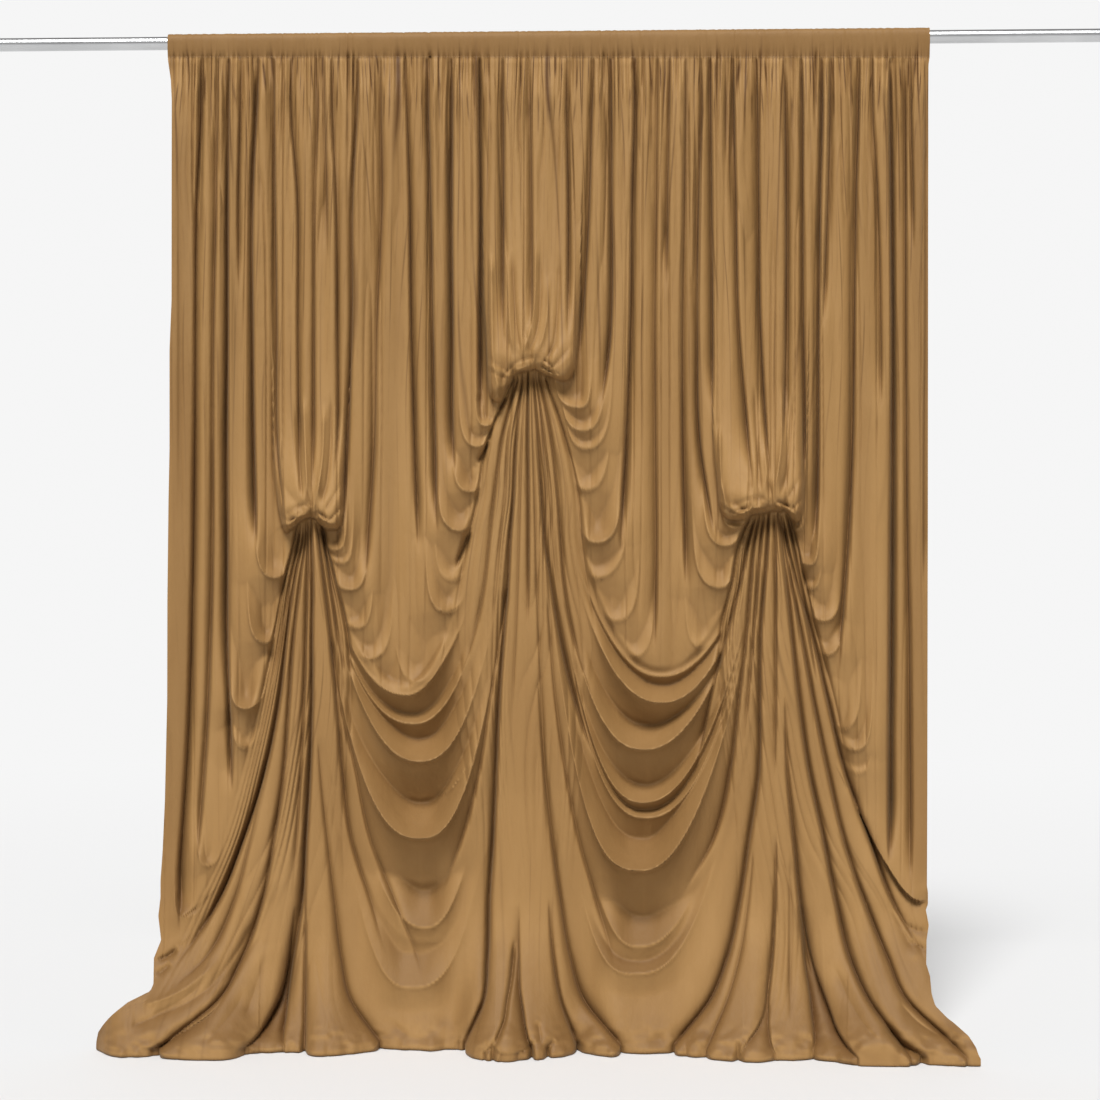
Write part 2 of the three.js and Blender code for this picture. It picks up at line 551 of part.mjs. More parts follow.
// A closed sheet: the face, its back one cloth's thickness behind it, and the four edges.
function sheet(columns) {
  const wide = columns.length;
  const tall = columns[0].length;
  const at = (c, r) => columns[clamp(c, 0, wide - 1)][clamp(r, 0, tall - 1)];
  const normals = columns.map((points, c) => points.map((_, r) => {
    const across = at(c + 1, r).clone().sub(at(c - 1, r));
    const down = at(c, r + 1).clone().sub(at(c, r - 1));
    return down.cross(across).normalize();
  }));
  const positions = [];
  const index = [];
  const face = (c, r) => c * tall + r;
  const back = (c, r) => wide * tall + c * tall + r;
  columns.forEach((points) => points.forEach((p) => positions.push(p.x, p.y, p.z)));
  columns.forEach((points, c) => points.forEach((p, r) => {
    const inner = p.clone().addScaledVector(normals[c][r], -CLOTH);
    if (r >= tall - 2) inner.set(p.x, p.y, FLOOR_Z + CLOTH);
    positions.push(inner.x, inner.y, inner.z);
  }));
  const quad = (a, b, c, d) => index.push(a, b, c, a, c, d);
  for (let c = 0; c < wide - 1; c += 1) {
    for (let r = 0; r < tall - 1; r += 1) {
      const corners = [[c, r], [c, r + 1], [c + 1, r + 1], [c + 1, r]];
      if (!alongFirst(corners.map(([i, j]) => columns[i][j]))) corners.push(corners.shift());
      const [p, q, u, v] = corners;
      quad(face(...p), face(...q), face(...u), face(...v));
      quad(back(...p), back(...v), back(...u), back(...q));
    }
    quad(face(c, 0), face(c + 1, 0), back(c + 1, 0), back(c, 0));
    quad(face(c, tall - 1), back(c, tall - 1), back(c + 1, tall - 1), face(c + 1, tall - 1));
  }
  for (let r = 0; r < tall - 1; r += 1) {
    quad(face(0, r), back(0, r), back(0, r + 1), face(0, r + 1));
    const c = wide - 1;
    quad(face(c, r), face(c, r + 1), back(c, r + 1), back(c, r));
  }
  const geometry = new THREE.BufferGeometry();
  geometry.setAttribute("position", new THREE.Float32BufferAttribute(positions, 3));
  geometry.setIndex(index);
  return geometry;
}

// The rod pocket: the cloth's top edge laid over the pole and sewn to the panel below it.
function pocketPoints(radius, seamHalf, seamZ) {
  const points = [];
  for (let k = 0; k <= POCKET_SIDES; k += 1) {
    const angle = mix(-0.16, 1.16, k / POCKET_SIDES) * Math.PI;
    points.push([Math.cos(angle) * radius, Math.sin(angle) * radius]);
  }
  points.push([-seamHalf, seamZ]);
  points.push([seamHalf, seamZ]);
  return points;
}
function pocketRing(Manifold, CrossSection) {
  const inner = POLE_RADIUS + POCKET_CLEARANCE;
  const outside = new CrossSection([pocketPoints(inner + CLOTH, SEAM_THICKNESS / 2, STITCH_Z - SEAM_DEPTH)]);
  const inside = new CrossSection([pocketPoints(inner, 0.4, STITCH_Z + 4)]);
  const wall = outside.subtract(inside);
  const ring = Manifold.extrude(wall, 2 * POCKET_HALF_WIDTH, POCKET_COLUMNS, 0, [1, 1], true);
  return ring.rotate([90, 0, 90]).warp((p) => {
    const upper = ease(STITCH_Z, inner, p[2]);
    p[2] += upper * (0.9 * Math.sin(p[0] / 41) + 0.6 * Math.sin(p[0] / 17 + 1)) ** 2;
  });
}

const wasm = await Module();
wasm.setup();
const { Manifold, Mesh, CrossSection } = wasm;

function solidOf(geometry) {
  return new Manifold(new Mesh({
    numProp: 3,
    vertProperties: geometry.getAttribute("position").array,
    triVerts: new Uint32Array(geometry.index.array),
  }));
}

function geometryOf(solid) {
  const mesh = solid.getMesh();
  const geometry = new THREE.BufferGeometry();
  geometry.setAttribute("position", new THREE.BufferAttribute(mesh.vertProperties, 3));
  geometry.setIndex(new THREE.BufferAttribute(mesh.triVerts, 1));
  geometry.computeVertexNormals();
  return geometry;
}

const spandex = new THREE.MeshStandardMaterial({
  name: "spandex",
  color: 0xa98556,
  roughness: 0.62,
  metalness: 0,
});
const aluminium = new THREE.MeshStandardMaterial({
  name: "aluminium",
  color: 0xc9cacb,
  roughness: 0.28,
  metalness: 1,
});

const panel = solidOf(sheet(facePoints()));
const curtain = new THREE.Mesh(geometryOf(panel.add(pocketRing(Manifold, CrossSection))), spandex);
curtain.name = "curtain";

const pole = new THREE.Mesh(
  new THREE.CylinderGeometry(POLE_RADIUS, POLE_RADIUS, POLE_LENGTH, POLE_SIDES).rotateZ(Math.PI / 2),
  aluminium,
);
pole.name = "pole";

const part = new THREE.Group();
part.name = "backdrop_curtain";
part.add(curtain, pole);

export default part;
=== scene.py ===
import math
from collections import namedtuple

import bpy
import numpy as np
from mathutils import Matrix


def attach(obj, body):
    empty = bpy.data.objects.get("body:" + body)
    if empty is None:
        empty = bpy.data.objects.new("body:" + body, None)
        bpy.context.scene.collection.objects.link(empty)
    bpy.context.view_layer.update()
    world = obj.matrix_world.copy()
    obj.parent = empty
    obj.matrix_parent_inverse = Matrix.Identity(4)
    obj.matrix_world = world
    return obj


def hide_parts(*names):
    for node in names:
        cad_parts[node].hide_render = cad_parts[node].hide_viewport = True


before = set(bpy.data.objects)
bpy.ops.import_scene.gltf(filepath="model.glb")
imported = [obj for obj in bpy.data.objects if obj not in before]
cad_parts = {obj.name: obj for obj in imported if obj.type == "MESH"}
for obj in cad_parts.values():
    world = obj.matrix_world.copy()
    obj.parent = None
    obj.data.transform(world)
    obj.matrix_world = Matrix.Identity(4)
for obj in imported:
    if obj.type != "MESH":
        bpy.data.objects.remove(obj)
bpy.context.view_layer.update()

# Millimetres in the tables and shape functions, metres in Blender.
MM = 0.001
FLOOR_Z = -3030.0

# The layout grid: fold lines are drawn in steps across (x) and steps down (drop), as seen by an eye at
# REACH in front of the pole, LEVEL_Z high and SKEW to the side. The pole's middle is at MIDDLE across, the
# eye's level at LEVEL down, and what stands forward looks larger to the eye.
GRID_SIDE = 1100
STEP = 3.05
MIDDLE = GRID_SIDE / 2
LEVEL = GRID_SIDE / 2
LEVEL_Z = -1555.0
REACH = 6250.0
SKEW = 0.035
STITCH_DROP = 57.0
FLOOR_DROP = 1058.0

# No fold reaches further back than the pocket's back or further forward than the longest lobe,
# and the cloth comes softly to both.
BACK = -14.0
FRONT = 372.0
SOFTLY = 8.0

# How finely the panel is meshed.
STRIPS = 4
STRIP_COLUMNS = 240
ROWS = 410
COLUMNS = STRIPS * STRIP_COLUMNS

# The three ties, and the lower edge of the puff above each: drop at each x.
Tie = namedtuple("Tie", "x drop lip_x lip_drop")
TIES = [
    Tie(311, 522,
        (274, 277, 280, 282.5, 284.5, 287, 291, 296, 301, 306, 312, 317, 321, 327, 334, 340, 343,
         345, 346.5, 349),
        (440, 480, 505, 519, 527, 531, 529, 525.5, 521, 518, 517, 519, 524, 528, 528.5, 526, 519,
         505, 480, 430)),
    Tie(531, 372,
        (484, 488, 489.5, 491, 494, 498, 502, 506, 511, 514, 518, 524, 530, 536, 541, 546, 553, 560,
         566, 570, 574, 576, 577.5, 581),
        (290, 345, 378, 391, 398, 400, 398, 389, 381, 376, 372.5, 370.5, 370, 368.5, 371, 374, 376,
         378.5, 379.5, 377, 371, 364, 345, 290)),
    Tie(772, 513,
        (714, 719, 721, 724, 728, 734, 742, 749, 755, 762, 768, 774, 781, 786, 790, 795, 799, 802,
         804, 805.5, 808),
        (430, 480, 500, 511, 516.5, 519, 518.5, 516.5, 513.5, 513, 511.5, 510, 510, 509, 513, 519, 521,
         516, 505, 480, 430)),
]

# A puff's height, half its width in steps, the height of its rays and the depth of the hollow under its lip,
# how many steps below its tie its rays meet, and how far it stands out at so many steps above its tie, as a
# share of its height.
PUFF_HIGH = 64
PUFF_HALF = 27
PUFF_RAYS = 8
PUFF_HOLLOW = 14
RAY_CENTRE = 14
PUFF_UP = (0, 10, 20, 40, 90, 150, 220, 300)
PUFF_SHARE = (1, 1, 0.97, 0.85, 0.42, 0.15, 0, 0)

# How far the cloth hangs in front of the pole's axis at each drop, before any fold.
LEAN_DROP = (20, 57, 110, 330, 500, 700, 850, 950, 1010, 1060)
LEAN_OUT = (20, 24, 32, 46, 60, 86, 122, 160, 205, 275)

# How far the foot of the cloth stands forward on the floor.
FOOT_X = (99, 108, 118, 135, 160, 190, 215, 235, 250, 265, 290, 302, 312, 330, 350, 390, 440, 455, 464, 480,
          512, 535, 552, 565, 580, 590, 612, 640, 700, 740, 765, 780, 800, 830, 850, 880, 920, 945, 970, 986)
FOOT_OUT = (235, 318, 345, 345, 352, 364, 366, 340, 306, 282, 272, 258, 300, 308, 290, 262, 262, 240, 268, 325,
            350, 325, 305, 285, 240, 262, 305, 285, 292, 315, 330, 300, 290, 300, 335, 374, 358, 338, 362, 352)
FOOT_MEAN = 272.0

# Left and right edge of the cloth.
LEFT_DROP = (36, 60, 80, 100, 300, 350, 450, 500, 600, 700, 800, 850, 880, 898, 916, 940, 958,
             984, 991, 997, 1002, 1010, 1015, 1020, 1026, 1032, 1042, 1050, 1056)
LEFT_X = (166, 168, 171, 172, 172, 170, 170, 169, 168, 168, 166, 164, 162, 162, 160, 163, 156,
          156, 153, 141, 131, 121, 115, 110, 105, 101, 99, 101, 105)
RIGHT_DROP = (36, 50, 65, 886, 892, 904, 910, 925, 940, 964, 976, 994, 1006, 1012, 1018, 1024,
              1030, 1036, 1042, 1048, 1054, 1060)
RIGHT_X = (932, 931, 929, 929, 930, 930, 928, 931, 929, 929, 933, 935, 939, 945, 951, 959,
           966, 973, 977, 981, 983, 986)


def keep_last(values, places):
    """Values for all places: from where no more are given on, the last one is kept."""
    return values + (values[-1],) * (len(places) - len(values))


def keep_first(values, places):
    """Values for all places: before the ones that are given, the first one is kept."""
    return (values[0],) * (len(places) - len(values)) + values


# Upright grooves from the stitch line down: x at UPRIGHT_DROP, depth, width, and the drop where each ends.
# From its last x on a groove runs straight down.
Upright = namedtuple("Upright", "x deep wide end")
UPRIGHT_DROP = (57, 110, 190, 330, 440, 540, 640, 740, 840)
UPRIGHTS = [Upright(keep_last(x, UPRIGHT_DROP), *rest) for x, *rest in (
    ((201, 201, 197, 195.5, 195, 194, 192, 189, 183), 12, 5.0, 940),
    ((218, 217, 216.3, 213.6, 213, 213, 211, 207, 200), 10, 5.0, 870),
    ((229, 228.8, 227.9, 227.9, 227, 227.5, 228, 232, 233), 20, 3.0, 800),
    ((241, 240.4, 238.6, 240), 10, 3.5, 300),
    ((259, 256.4, 252.9, 252.9, 254, 257, 262), 18, 3.5, 560),
    ((274, 274.5, 275.2, 277, 278, 288, 300), 13, 3.5, 530),
    ((291, 291.3, 297.5, 298.4, 300, 304), 10, 4.0, 490),
    ((318, 318, 315.4, 314.5, 314.5, 312), 9, 4.0, 490),
    ((324, 325, 327, 328), 9, 5.0, 270),
    ((331, 332.3, 335.9, 337.7, 338, 330), 9, 4.0, 480),
    ((358, 357.3, 352.9, 352, 348, 344, 340), 15, 3.5, 540),
    ((381, 381, 382.3, 377, 375, 369, 366), 11, 7.0, 600),
    ((405, 407.3, 410, 411.8, 415, 419, 424, 428), 12, 3.5, 560),
    ((427, 427.9, 430.4, 433, 435.5, 439, 452), 16, 4.0, 540),
    ((451.8, 451.8, 451.8, 452.7, 453.6, 462, 470), 20, 4.0, 485),
    ((479.5, 479.5, 480.4, 480.5, 482, 490), 18, 3.0, 425),
    ((503, 503.2, 503.6, 504, 508), 12, 4.0, 345),
    ((531, 530.9, 532, 533), 9, 4.0, 350),
    ((567, 567, 568.8, 568.8, 570), 13, 4.0, 345),
    ((594, 592, 590, 582, 572), 13, 4.0, 372),
    ((611, 611.6, 612, 611, 600, 598), 16, 4.0, 420),
    ((635, 634.8, 633, 631, 627, 622), 15, 4.0, 560),
    ((658, 657.5, 657, 655.4, 656, 657, 656), 9, 6.0, 660),
    ((670, 669.6, 668, 667), 12, 4.0, 300),
    ((686, 685.9, 685, 683, 683.5, 686, 688), 11, 5.0, 600),
    ((702, 702, 699, 697.5, 700, 716, 730), 13, 3.5, 545),
    ((710.5, 710.9, 711.8, 713, 713.6, 714), 15, 4.0, 420),
    ((726, 726, 727, 728), 8, 4.0, 180),
    ((733.5, 734, 735.9, 739.5, 749, 760), 13, 4.0, 490),
    ((757, 757.9, 759, 760.9, 768, 780), 15, 4.0, 480),
    ((785, 785.9, 786.8, 786.5, 785, 784), 14, 4.5, 450),
    ((802, 802.9, 802.9, 803.8, 805.5, 804), 14, 3.5, 500),
    ((822, 822.5, 820.7, 819, 818.5, 817, 814), 15, 3.5, 560),
    ((830.5, 830.5, 828.8, 824, 822), 12, 3.0, 340),
    ((860, 859, 856.4, 854.6, 853, 849, 842, 838), 14, 6.0, 680),
    ((873, 873.4, 877.9, 881.4, 882), 9, 5.0, 420),
    ((890, 890.4, 891.6, 892.7, 892.5, 892, 891.5, 891), 24, 2.5, 868),
    ((905, 905.5, 905.9, 906.4, 907, 908, 910, 911, 912), 11, 5.0, 890),
    ((912, 911.8, 913.6, 915), 10, 3.5, 260),
    ((926, 926, 926, 926, 925), 5, 4.0, 600),
)]

# Grooves of the fans: x at the last ones of FAN_DROP, the drops where each starts and ends, and its
# depth and width at both. Above its first x a groove runs straight down.
Fan = namedtuple("Fan", "x start end deep_start deep_end wide_start wide_end")
FAN_DROP = (380, 440, 500, 540, 580, 630, 700, 770, 840, 900, 960, 1000, 1040)
FANS = [Fan(keep_first(x, FAN_DROP), *rest) for x, *rest in (
    # under the middle tie
    ((518, 503, 494.6, 490, 485.7, 476, 455, 440, 430, 430, 430, 430, 430), 374, 690, 12, 8, 2, 3),
    ((523, 517, 514, 511, 509, 505, 500, 497, 494, 490.5, 489.5, 486.5, 469), 370, 1060, 12, 30, 1.8, 3),
    ((509, 502, 491, 480.5, 462.5, 440, 425, 420, 420), 590, 900, 8, 14, 3, 4),
    ((529, 528.8, 529.5, 529.5, 529.5, 529, 528.6, 527.7, 525, 521, 518.5, 517.5, 517),
     368, 640, 18, 8, 1.6, 2),
    ((534, 539, 543, 546, 552, 560, 576, 600, 630, 650, 660, 670, 680), 370, 780, 12, 24, 2, 3.5),
    ((548, 551, 557, 567, 581, 598, 615, 620, 620), 600, 980, 5, 12, 2.5, 4.5),
    ((536, 541, 546, 554, 562.5, 573, 586, 619), 680, 1050, 3, 24, 2.5, 4.5),
    ((545, 549, 551, 556, 563, 578), 900, 1060, 3, 28, 2, 2.6),
    ((540, 552, 559, 562, 565, 573, 595, 620, 640, 650, 650, 650, 650), 370, 715, 12, 10, 2, 3),
    ((515, 509, 505, 501, 498, 492, 481, 470, 460, 450, 450, 450, 450), 372, 640, 7, 4, 2, 2.5),
    ((526, 523, 521, 520, 519, 517, 514, 512, 510, 508, 506, 504, 502), 370, 760, 6, 4, 1.8, 3),
    ((537, 546, 551, 554, 558, 565, 580, 600, 610, 610, 610, 610, 610), 370, 620, 9, 4, 2, 2.5),
    ((532, 534, 536, 537, 538, 540, 543, 546, 549, 552, 556, 560, 566), 368, 860, 6, 5, 1.8, 3),
    # under the left tie
    ((305, 303, 295, 288, 280, 266, 244, 220, 182, 150, 120), 526, 975, 14, 36, 2, 2.6),
    ((275, 272, 265, 251, 236, 206, 165, 150), 760, 1000, 3, 16, 2.5, 5),
    ((307, 306, 301, 295, 290, 285, 275, 264, 243, 221, 173), 522, 1052, 12, 20, 1.8, 3.5),
    ((311, 312, 313.5, 313, 313, 311, 307, 303.5, 293.5, 283.5, 274), 518, 985, 14, 34, 1.8, 3),
    ((315, 320, 325, 331, 338, 344, 353, 372, 392, 420, 440), 524, 960, 14, 12, 2, 4),
    ((318, 322, 329, 336, 343.5, 353, 381), 740, 1050, 3, 22, 3, 5),
    ((330, 332, 341, 357, 372, 396, 420, 430, 440), 640, 990, 8, 10, 2.5, 4),
    ((306, 306.5, 307, 307.5, 308), 880, 1060, 3, 22, 2, 2.5),
    ((302, 299, 291, 282, 270, 258, 240, 220, 200, 180, 160), 526, 700, 18, 5, 2, 3),
    ((318, 324, 331, 338, 352, 370, 380, 390, 400, 410, 420), 522, 690, 18, 6, 2, 3),
    ((309, 308, 308, 307, 305, 302, 298, 294, 290, 286, 280), 520, 900, 14, 10, 2, 3.5),
    # under the right tie
    ((782, 787, 797, 812, 829, 846, 872, 894, 927, 938, 950), 520, 965, 14, 22, 1.8, 2.2),
    ((780, 785, 792, 802, 815, 829.6, 846, 866, 891, 910, 952), 514, 1052, 12, 20, 1.8, 3.5),
    ((778, 783, 788, 793, 801, 811, 826, 838, 853, 872, 902), 512, 1056, 12, 24, 1.8, 3.5),
    ((785, 787, 789, 796, 802, 811, 822, 839), 700, 985, 4, 30, 2, 3),
    ((770, 769, 766, 762, 761, 760, 750, 741, 728, 712, 681), 510, 1054, 14, 26, 1.8, 4),
    ((757, 755, 750, 741, 730, 714), 850, 1050, 3, 14, 3, 4.5),
    ((763, 756, 752, 748, 740, 731, 714, 682, 660, 650, 650), 514, 905, 14, 18, 2, 4),
    ((760, 750, 742, 729, 711, 697, 675, 650, 650, 650, 650), 516, 790, 16, 14, 2, 4),
    ((779, 778, 777, 774, 770, 762), 835, 1010, 3, 24, 1.4, 2),
    ((793, 792, 792, 793, 795), 860, 1030, 3, 8, 4, 5),
    ((766, 762, 759, 755, 749, 742, 735, 728, 720, 712, 704), 512, 760, 14, 7, 2, 3),
    ((775, 776, 777, 777, 777, 776, 775, 774, 773, 772, 771), 512, 800, 12, 7, 2, 3),
    ((786, 793, 801, 810, 822, 835, 850, 860, 870, 880, 890), 516, 700, 18, 6, 2, 3),
)]

# Other creases, each along its own points: x and drop, depth, width, and how much its upper side overhangs.
Crease = namedtuple("Crease", "x drop deep wide shelf")
CREASES = [Crease(*row) for row in (
    # the two lobes on the floor
    ((213, 193, 171, 150), (975, 994, 1008, 1017), 5, 5, 0),
    ((258, 240, 216, 190, 160, 130), (915, 950, 983, 1003, 1016, 1028), 7, 5, 0),
    ((222, 205, 185, 160, 142), (955, 975, 990, 1001, 1004), -6, 4, 0),
    ((250, 240, 228, 214, 200), (985, 1005, 1022, 1038, 1048), 5, 5, 0),
    ((268, 262, 254, 247), (950, 975, 1000, 1020), 5, 5, 0),
    ((835, 845, 858, 872, 886), (960, 985, 1010, 1030, 1044), 6, 5, 0),
    ((279, 272, 260, 242, 228), (880, 905, 935, 965, 985), 5, 6, 0),
    ((158, 164, 172, 180), (957, 958, 954, 947), 9, 2, 3),
    ((157, 166, 173), (975, 970, 962), 6, 2, 0),
    ((180, 181, 184, 195, 205), (890, 905, 916, 910, 901), 3, 2, 4),
    ((885, 902, 922, 937), (1021, 1041, 1054, 1063), 22, 3, 0),
    ((902, 917, 934, 954), (1000, 1018, 1031, 1041), 8, 3.5, 0),
    ((852, 866, 880, 892, 902, 912, 922, 931), (795, 823, 851, 871, 886, 897, 902, 900), 2, 2, 22),
    ((888, 897, 908, 918), (895, 915, 936, 955), 6, 5, 0),
    ((908, 918, 932), (922, 929, 931), 5, 3, 3),
    ((912, 921, 933), (938, 946, 949), 5, 3, 3),
    # between the small lumps of the middle fan's foot
    ((517, 515, 513, 510.5, 508, 504, 500, 497), (935, 965, 985, 1000, 1020, 1032, 1042, 1050), 13, 1.3, 0),
    ((548, 551, 555, 560), (1054, 1049, 1044, 1040), 9, 2, 0),
    ((541, 543, 545), (1020, 1032, 1046), 5, 2, 0),
    ((484, 482, 480), (1000, 1020, 1045), 4, 2.5, 0),
    # low edges of the swags
    ((391, 399, 412, 428, 445), (1016, 1027, 1036, 1037, 1028), 4, 6, 0),
    ((604, 619, 637, 658, 672), (1024, 1038, 1044, 1040, 1030), 4, 6, 0),
    ((441, 452, 462), (797, 790, 776), 2, 1.8, 5),
    # pinches and folds of the middle puff
    ((503, 507, 513, 521, 530, 538), (397, 388, 378, 370, 367, 367), -10, 3.0, 0),
    ((542, 550, 559, 566), (369, 372, 376, 379), -8, 2.4, 0),
    ((501, 505, 512, 520, 530, 540), (386, 376, 368, 361, 358, 357), 4, 1.5, 0),
    ((506, 509, 511, 513, 517), (240, 290, 320, 340, 357), -6, 1.8, 0),
    ((513, 515, 517, 520, 522), (250, 290, 320, 342, 355), 5, 1.5, 0),
    ((537, 536, 534, 529, 523), (235, 290, 318, 340, 355), -6, 1.8, 0),
    ((541, 541, 540, 535, 528), (250, 295, 320, 342, 356), 5, 1.8, 0),
    ((549, 549, 547, 543, 537), (270, 305, 325, 342, 357), -5, 1.8, 0),
    ((560, 559, 557, 553, 547), (250, 300, 330, 350, 364), 6, 2.2, 0),
    ((492, 493, 494, 497, 502), (250, 310, 350, 376, 394), -7, 1.8, 0),
    ((540, 545, 551, 560), (362, 367, 371, 376), 9, 1.3, 4),
    ((543, 550, 556), (358, 363, 369), 6, 1.2, 3),
    ((505, 509, 514), (392, 385, 380), 8, 1.2, 3),
    # where the loops meet the sides of the middle fan
    ((499, 503, 507), (411, 404, 395), 10, 1.4, 0),
    ((478, 484, 489), (464, 453, 441), 13, 1.4, 0),
    ((456, 461, 466, 471), (570, 556, 543, 530), 14, 1.6, 0),
    ((484, 481, 480, 480), (424, 415, 403, 392), 10, 1.4, 0),
    # of the left puff
    ((285, 291, 298, 306, 314), (529, 524, 519, 515, 514), -10, 2.8, 0),
    ((318, 324, 331, 339), (515, 519, 523, 526), -8, 2.4, 0),
    ((284, 291, 299, 308, 317), (517, 512, 507, 504, 504), 4, 1.5, 0),
    ((296, 299, 302, 304), (400, 450, 480, 502), 6, 1.6, 0),
    ((303, 306, 308, 308), (390, 445, 478, 500), -6, 1.8, 0),
    ((325, 324, 321, 317), (400, 450, 480, 502), -6, 1.8, 0),
    ((332, 331, 328, 323), (390, 450, 482, 505), 6, 2.0, 0),
    ((317, 324, 332), (510, 515, 521), 8, 1.3, 4),
    ((288, 294, 300), (523, 519, 516), 7, 1.2, 3),
    ((280, 281, 283, 286), (430, 480, 505, 522), -8, 1.8, 0),
    # of the right puff
    ((731, 740, 750, 760, 770), (516, 515, 511, 508, 507), -10, 2.8, 0),
    ((775, 784, 792, 799), (507, 507, 511, 517), -8, 2.4, 0),
    ((728, 738, 749, 760, 771), (506, 504, 500, 498, 497), 4, 1.5, 0),
    ((755, 758, 761, 763), (380, 440, 470, 495), 6, 1.6, 0),
    ((763, 766, 768, 768), (390, 440, 470, 493), -6, 1.8, 0),
    ((784, 783, 780, 776), (380, 440, 470, 494), -6, 1.8, 0),
    ((793, 791, 788, 783), (390, 440, 472, 496), 6, 2.0, 0),
    ((777, 785, 794), (501, 503, 509), 8, 1.3, 4),
    ((735, 744, 752), (511, 509, 507), 7, 1.2, 3),
    ((720, 722, 726, 732), (420, 470, 496, 512), -8, 1.8, 0),
)]

# Edges of folds that lie over the next one: x and drop, how far the cloth drops back there, and how
# many grid steps it takes to come forward again. On the way down the points, the left side is in front.
Edge = namedtuple("Edge", "x drop deep reach")
EDGES = [Edge(*row) for row in (
    # the left lobe's right edge, the fold right of the gap, and the lobe's roll over the hem
    ((297, 293, 290, 286, 281, 275, 268, 260, 250, 240, 230),
     (905, 940, 965, 985, 1000, 1012, 1025, 1037, 1046, 1053, 1058),
     (0, 24, 44, 56, 62, 62, 55, 34, 22, 18, 10), 11),
    ((290, 286, 286, 288, 290, 293, 297, 301), (1050, 1042, 1030, 1015, 990, 965, 940, 905),
     (0, 20, 44, 48, 44, 34, 18, 0), 8),
    ((236, 231, 224, 215, 203, 190, 178, 165, 150, 138),
     (970, 988, 1001, 1013, 1022, 1030, 1038, 1045, 1051, 1055),
     (0, 5, 9, 13, 20, 26, 26, 22, 16, 6), 10),
    # the middle fan's foot: the edge right of its slit, and the rolls of its lumps
    ((537, 535, 531, 528, 526, 524, 522, 521, 520.5, 521),
     (1057, 1048, 1038, 1025, 1012, 1000, 985, 960, 930, 905),
     (8, 26, 32, 34, 34, 32, 28, 22, 11, 0), 7),
    ((496, 488, 478, 468, 463), (1046, 1053, 1055.5, 1053, 1046), (4, 14, 14, 12, 0), 5),
    ((535, 527, 517, 507, 500, 497), (1045, 1051, 1055, 1055, 1051, 1045), (6, 14, 14, 14, 12, 0), 5),
    ((552, 550, 544, 538, 536), (1046, 1055, 1058, 1054, 1046), (0, 12, 12, 12, 0), 5),
    # the gap under the right tie, and the folds left of it
    ((800, 804, 808, 812, 815, 818, 817), (905, 935, 965, 990, 1015, 1038, 1050),
     (0, 16, 34, 44, 46, 34, 10), 11),
    ((868, 860, 850, 840, 832, 824, 815, 808, 803), (1064, 1056, 1045, 1030, 1010, 990, 965, 935, 905),
     (8, 20, 36, 50, 52, 46, 32, 14, 0), 11),
    ((771, 770, 768, 763, 755, 747), (965, 990, 1010, 1025, 1038, 1049), (0, 12, 20, 22, 20, 10), 8),
    ((780, 775, 772, 771, 771), (1055, 1046, 1030, 1010, 975), (8, 20, 24, 20, 0), 8),
)]

# Left and right side of each fan at FAN_DROP, one row per tie.
Sides = namedtuple("Sides", "left right")
FAN_SIDES = [
    Sides((300, 300, 300, 295, 285, 276, 262, 244, 224, 198, 172, 150, 130),
          (319, 319, 319, 326, 336, 348, 352, 350, 346, 344, 344, 350, 366)),
    Sides((514, 488, 478, 469, 461, 455, 456, 464, 473, 480, 483, 478, 464),
          (547, 567, 580, 583, 588, 596, 590, 584, 578, 574, 576, 584, 604)),
    Sides((757, 757, 757, 740, 733, 722, 722, 728, 734, 737, 731, 716, 690),
          (787, 787, 787, 797, 806, 817, 836, 851, 875, 912, 930, 950, 970)),
]

# Swags between two ties: the lowest point of each lip, the power of its curve on both sides, how far
# it stands out, the reach of the shaded fall under it, how deep that falls, its height at the ties, and
# how steeply the cloth above slopes out to it.
Swag = namedtuple("Swag", "left x drop power_left power_right high below hollow side rise")
SWAGS = [Swag(*row) for row in (
    (0, 409, 696, 2.3, 1.85, 52, 24, 20, 30, 1.25),
    (0, 415, 724, 2.3, 2.2, 26, 18, 20, 26, 1.25),
    (0, 421, 762, 2.2, 2.5, 70, 52, 52, 30, 1.25),
    (0, 423, 839, 2.5, 2.5, 92, 62, 56, 30, 1.25),
    (0, 427, 928, 2.3, 2.3, 16, 20, 14, -60, 0.62),
    (0, 412, 988, 2.5, 3.0, 22, 26, 8, -16, 0.45),
    (1, 663, 677, 2.2, 2.1, 20, 9, 6, 26, 1.25),
    (1, 665, 703, 2.35, 2.1, 62, 30, 30, 30, 1.25),
    (1, 648, 750, 2.6, 2.05, 66, 44, 44, 30, 1.25),
    (1, 645, 803, 2.4, 2.15, 30, 10, 18, 28, 1.25),
    (1, 648, 818, 2.5, 2.25, 22, 28, 34, 24, 1.25),
    (1, 645, 871, 3.0, 2.1, 96, 60, 56, 30, 1.25),
    (1, 640, 947, 2.4, 2.4, 14, 16, 12, -60, 0.6),
    (1, 638, 974, 3.0, 2.6, 20, 24, 8, -16, 0.8),
)]

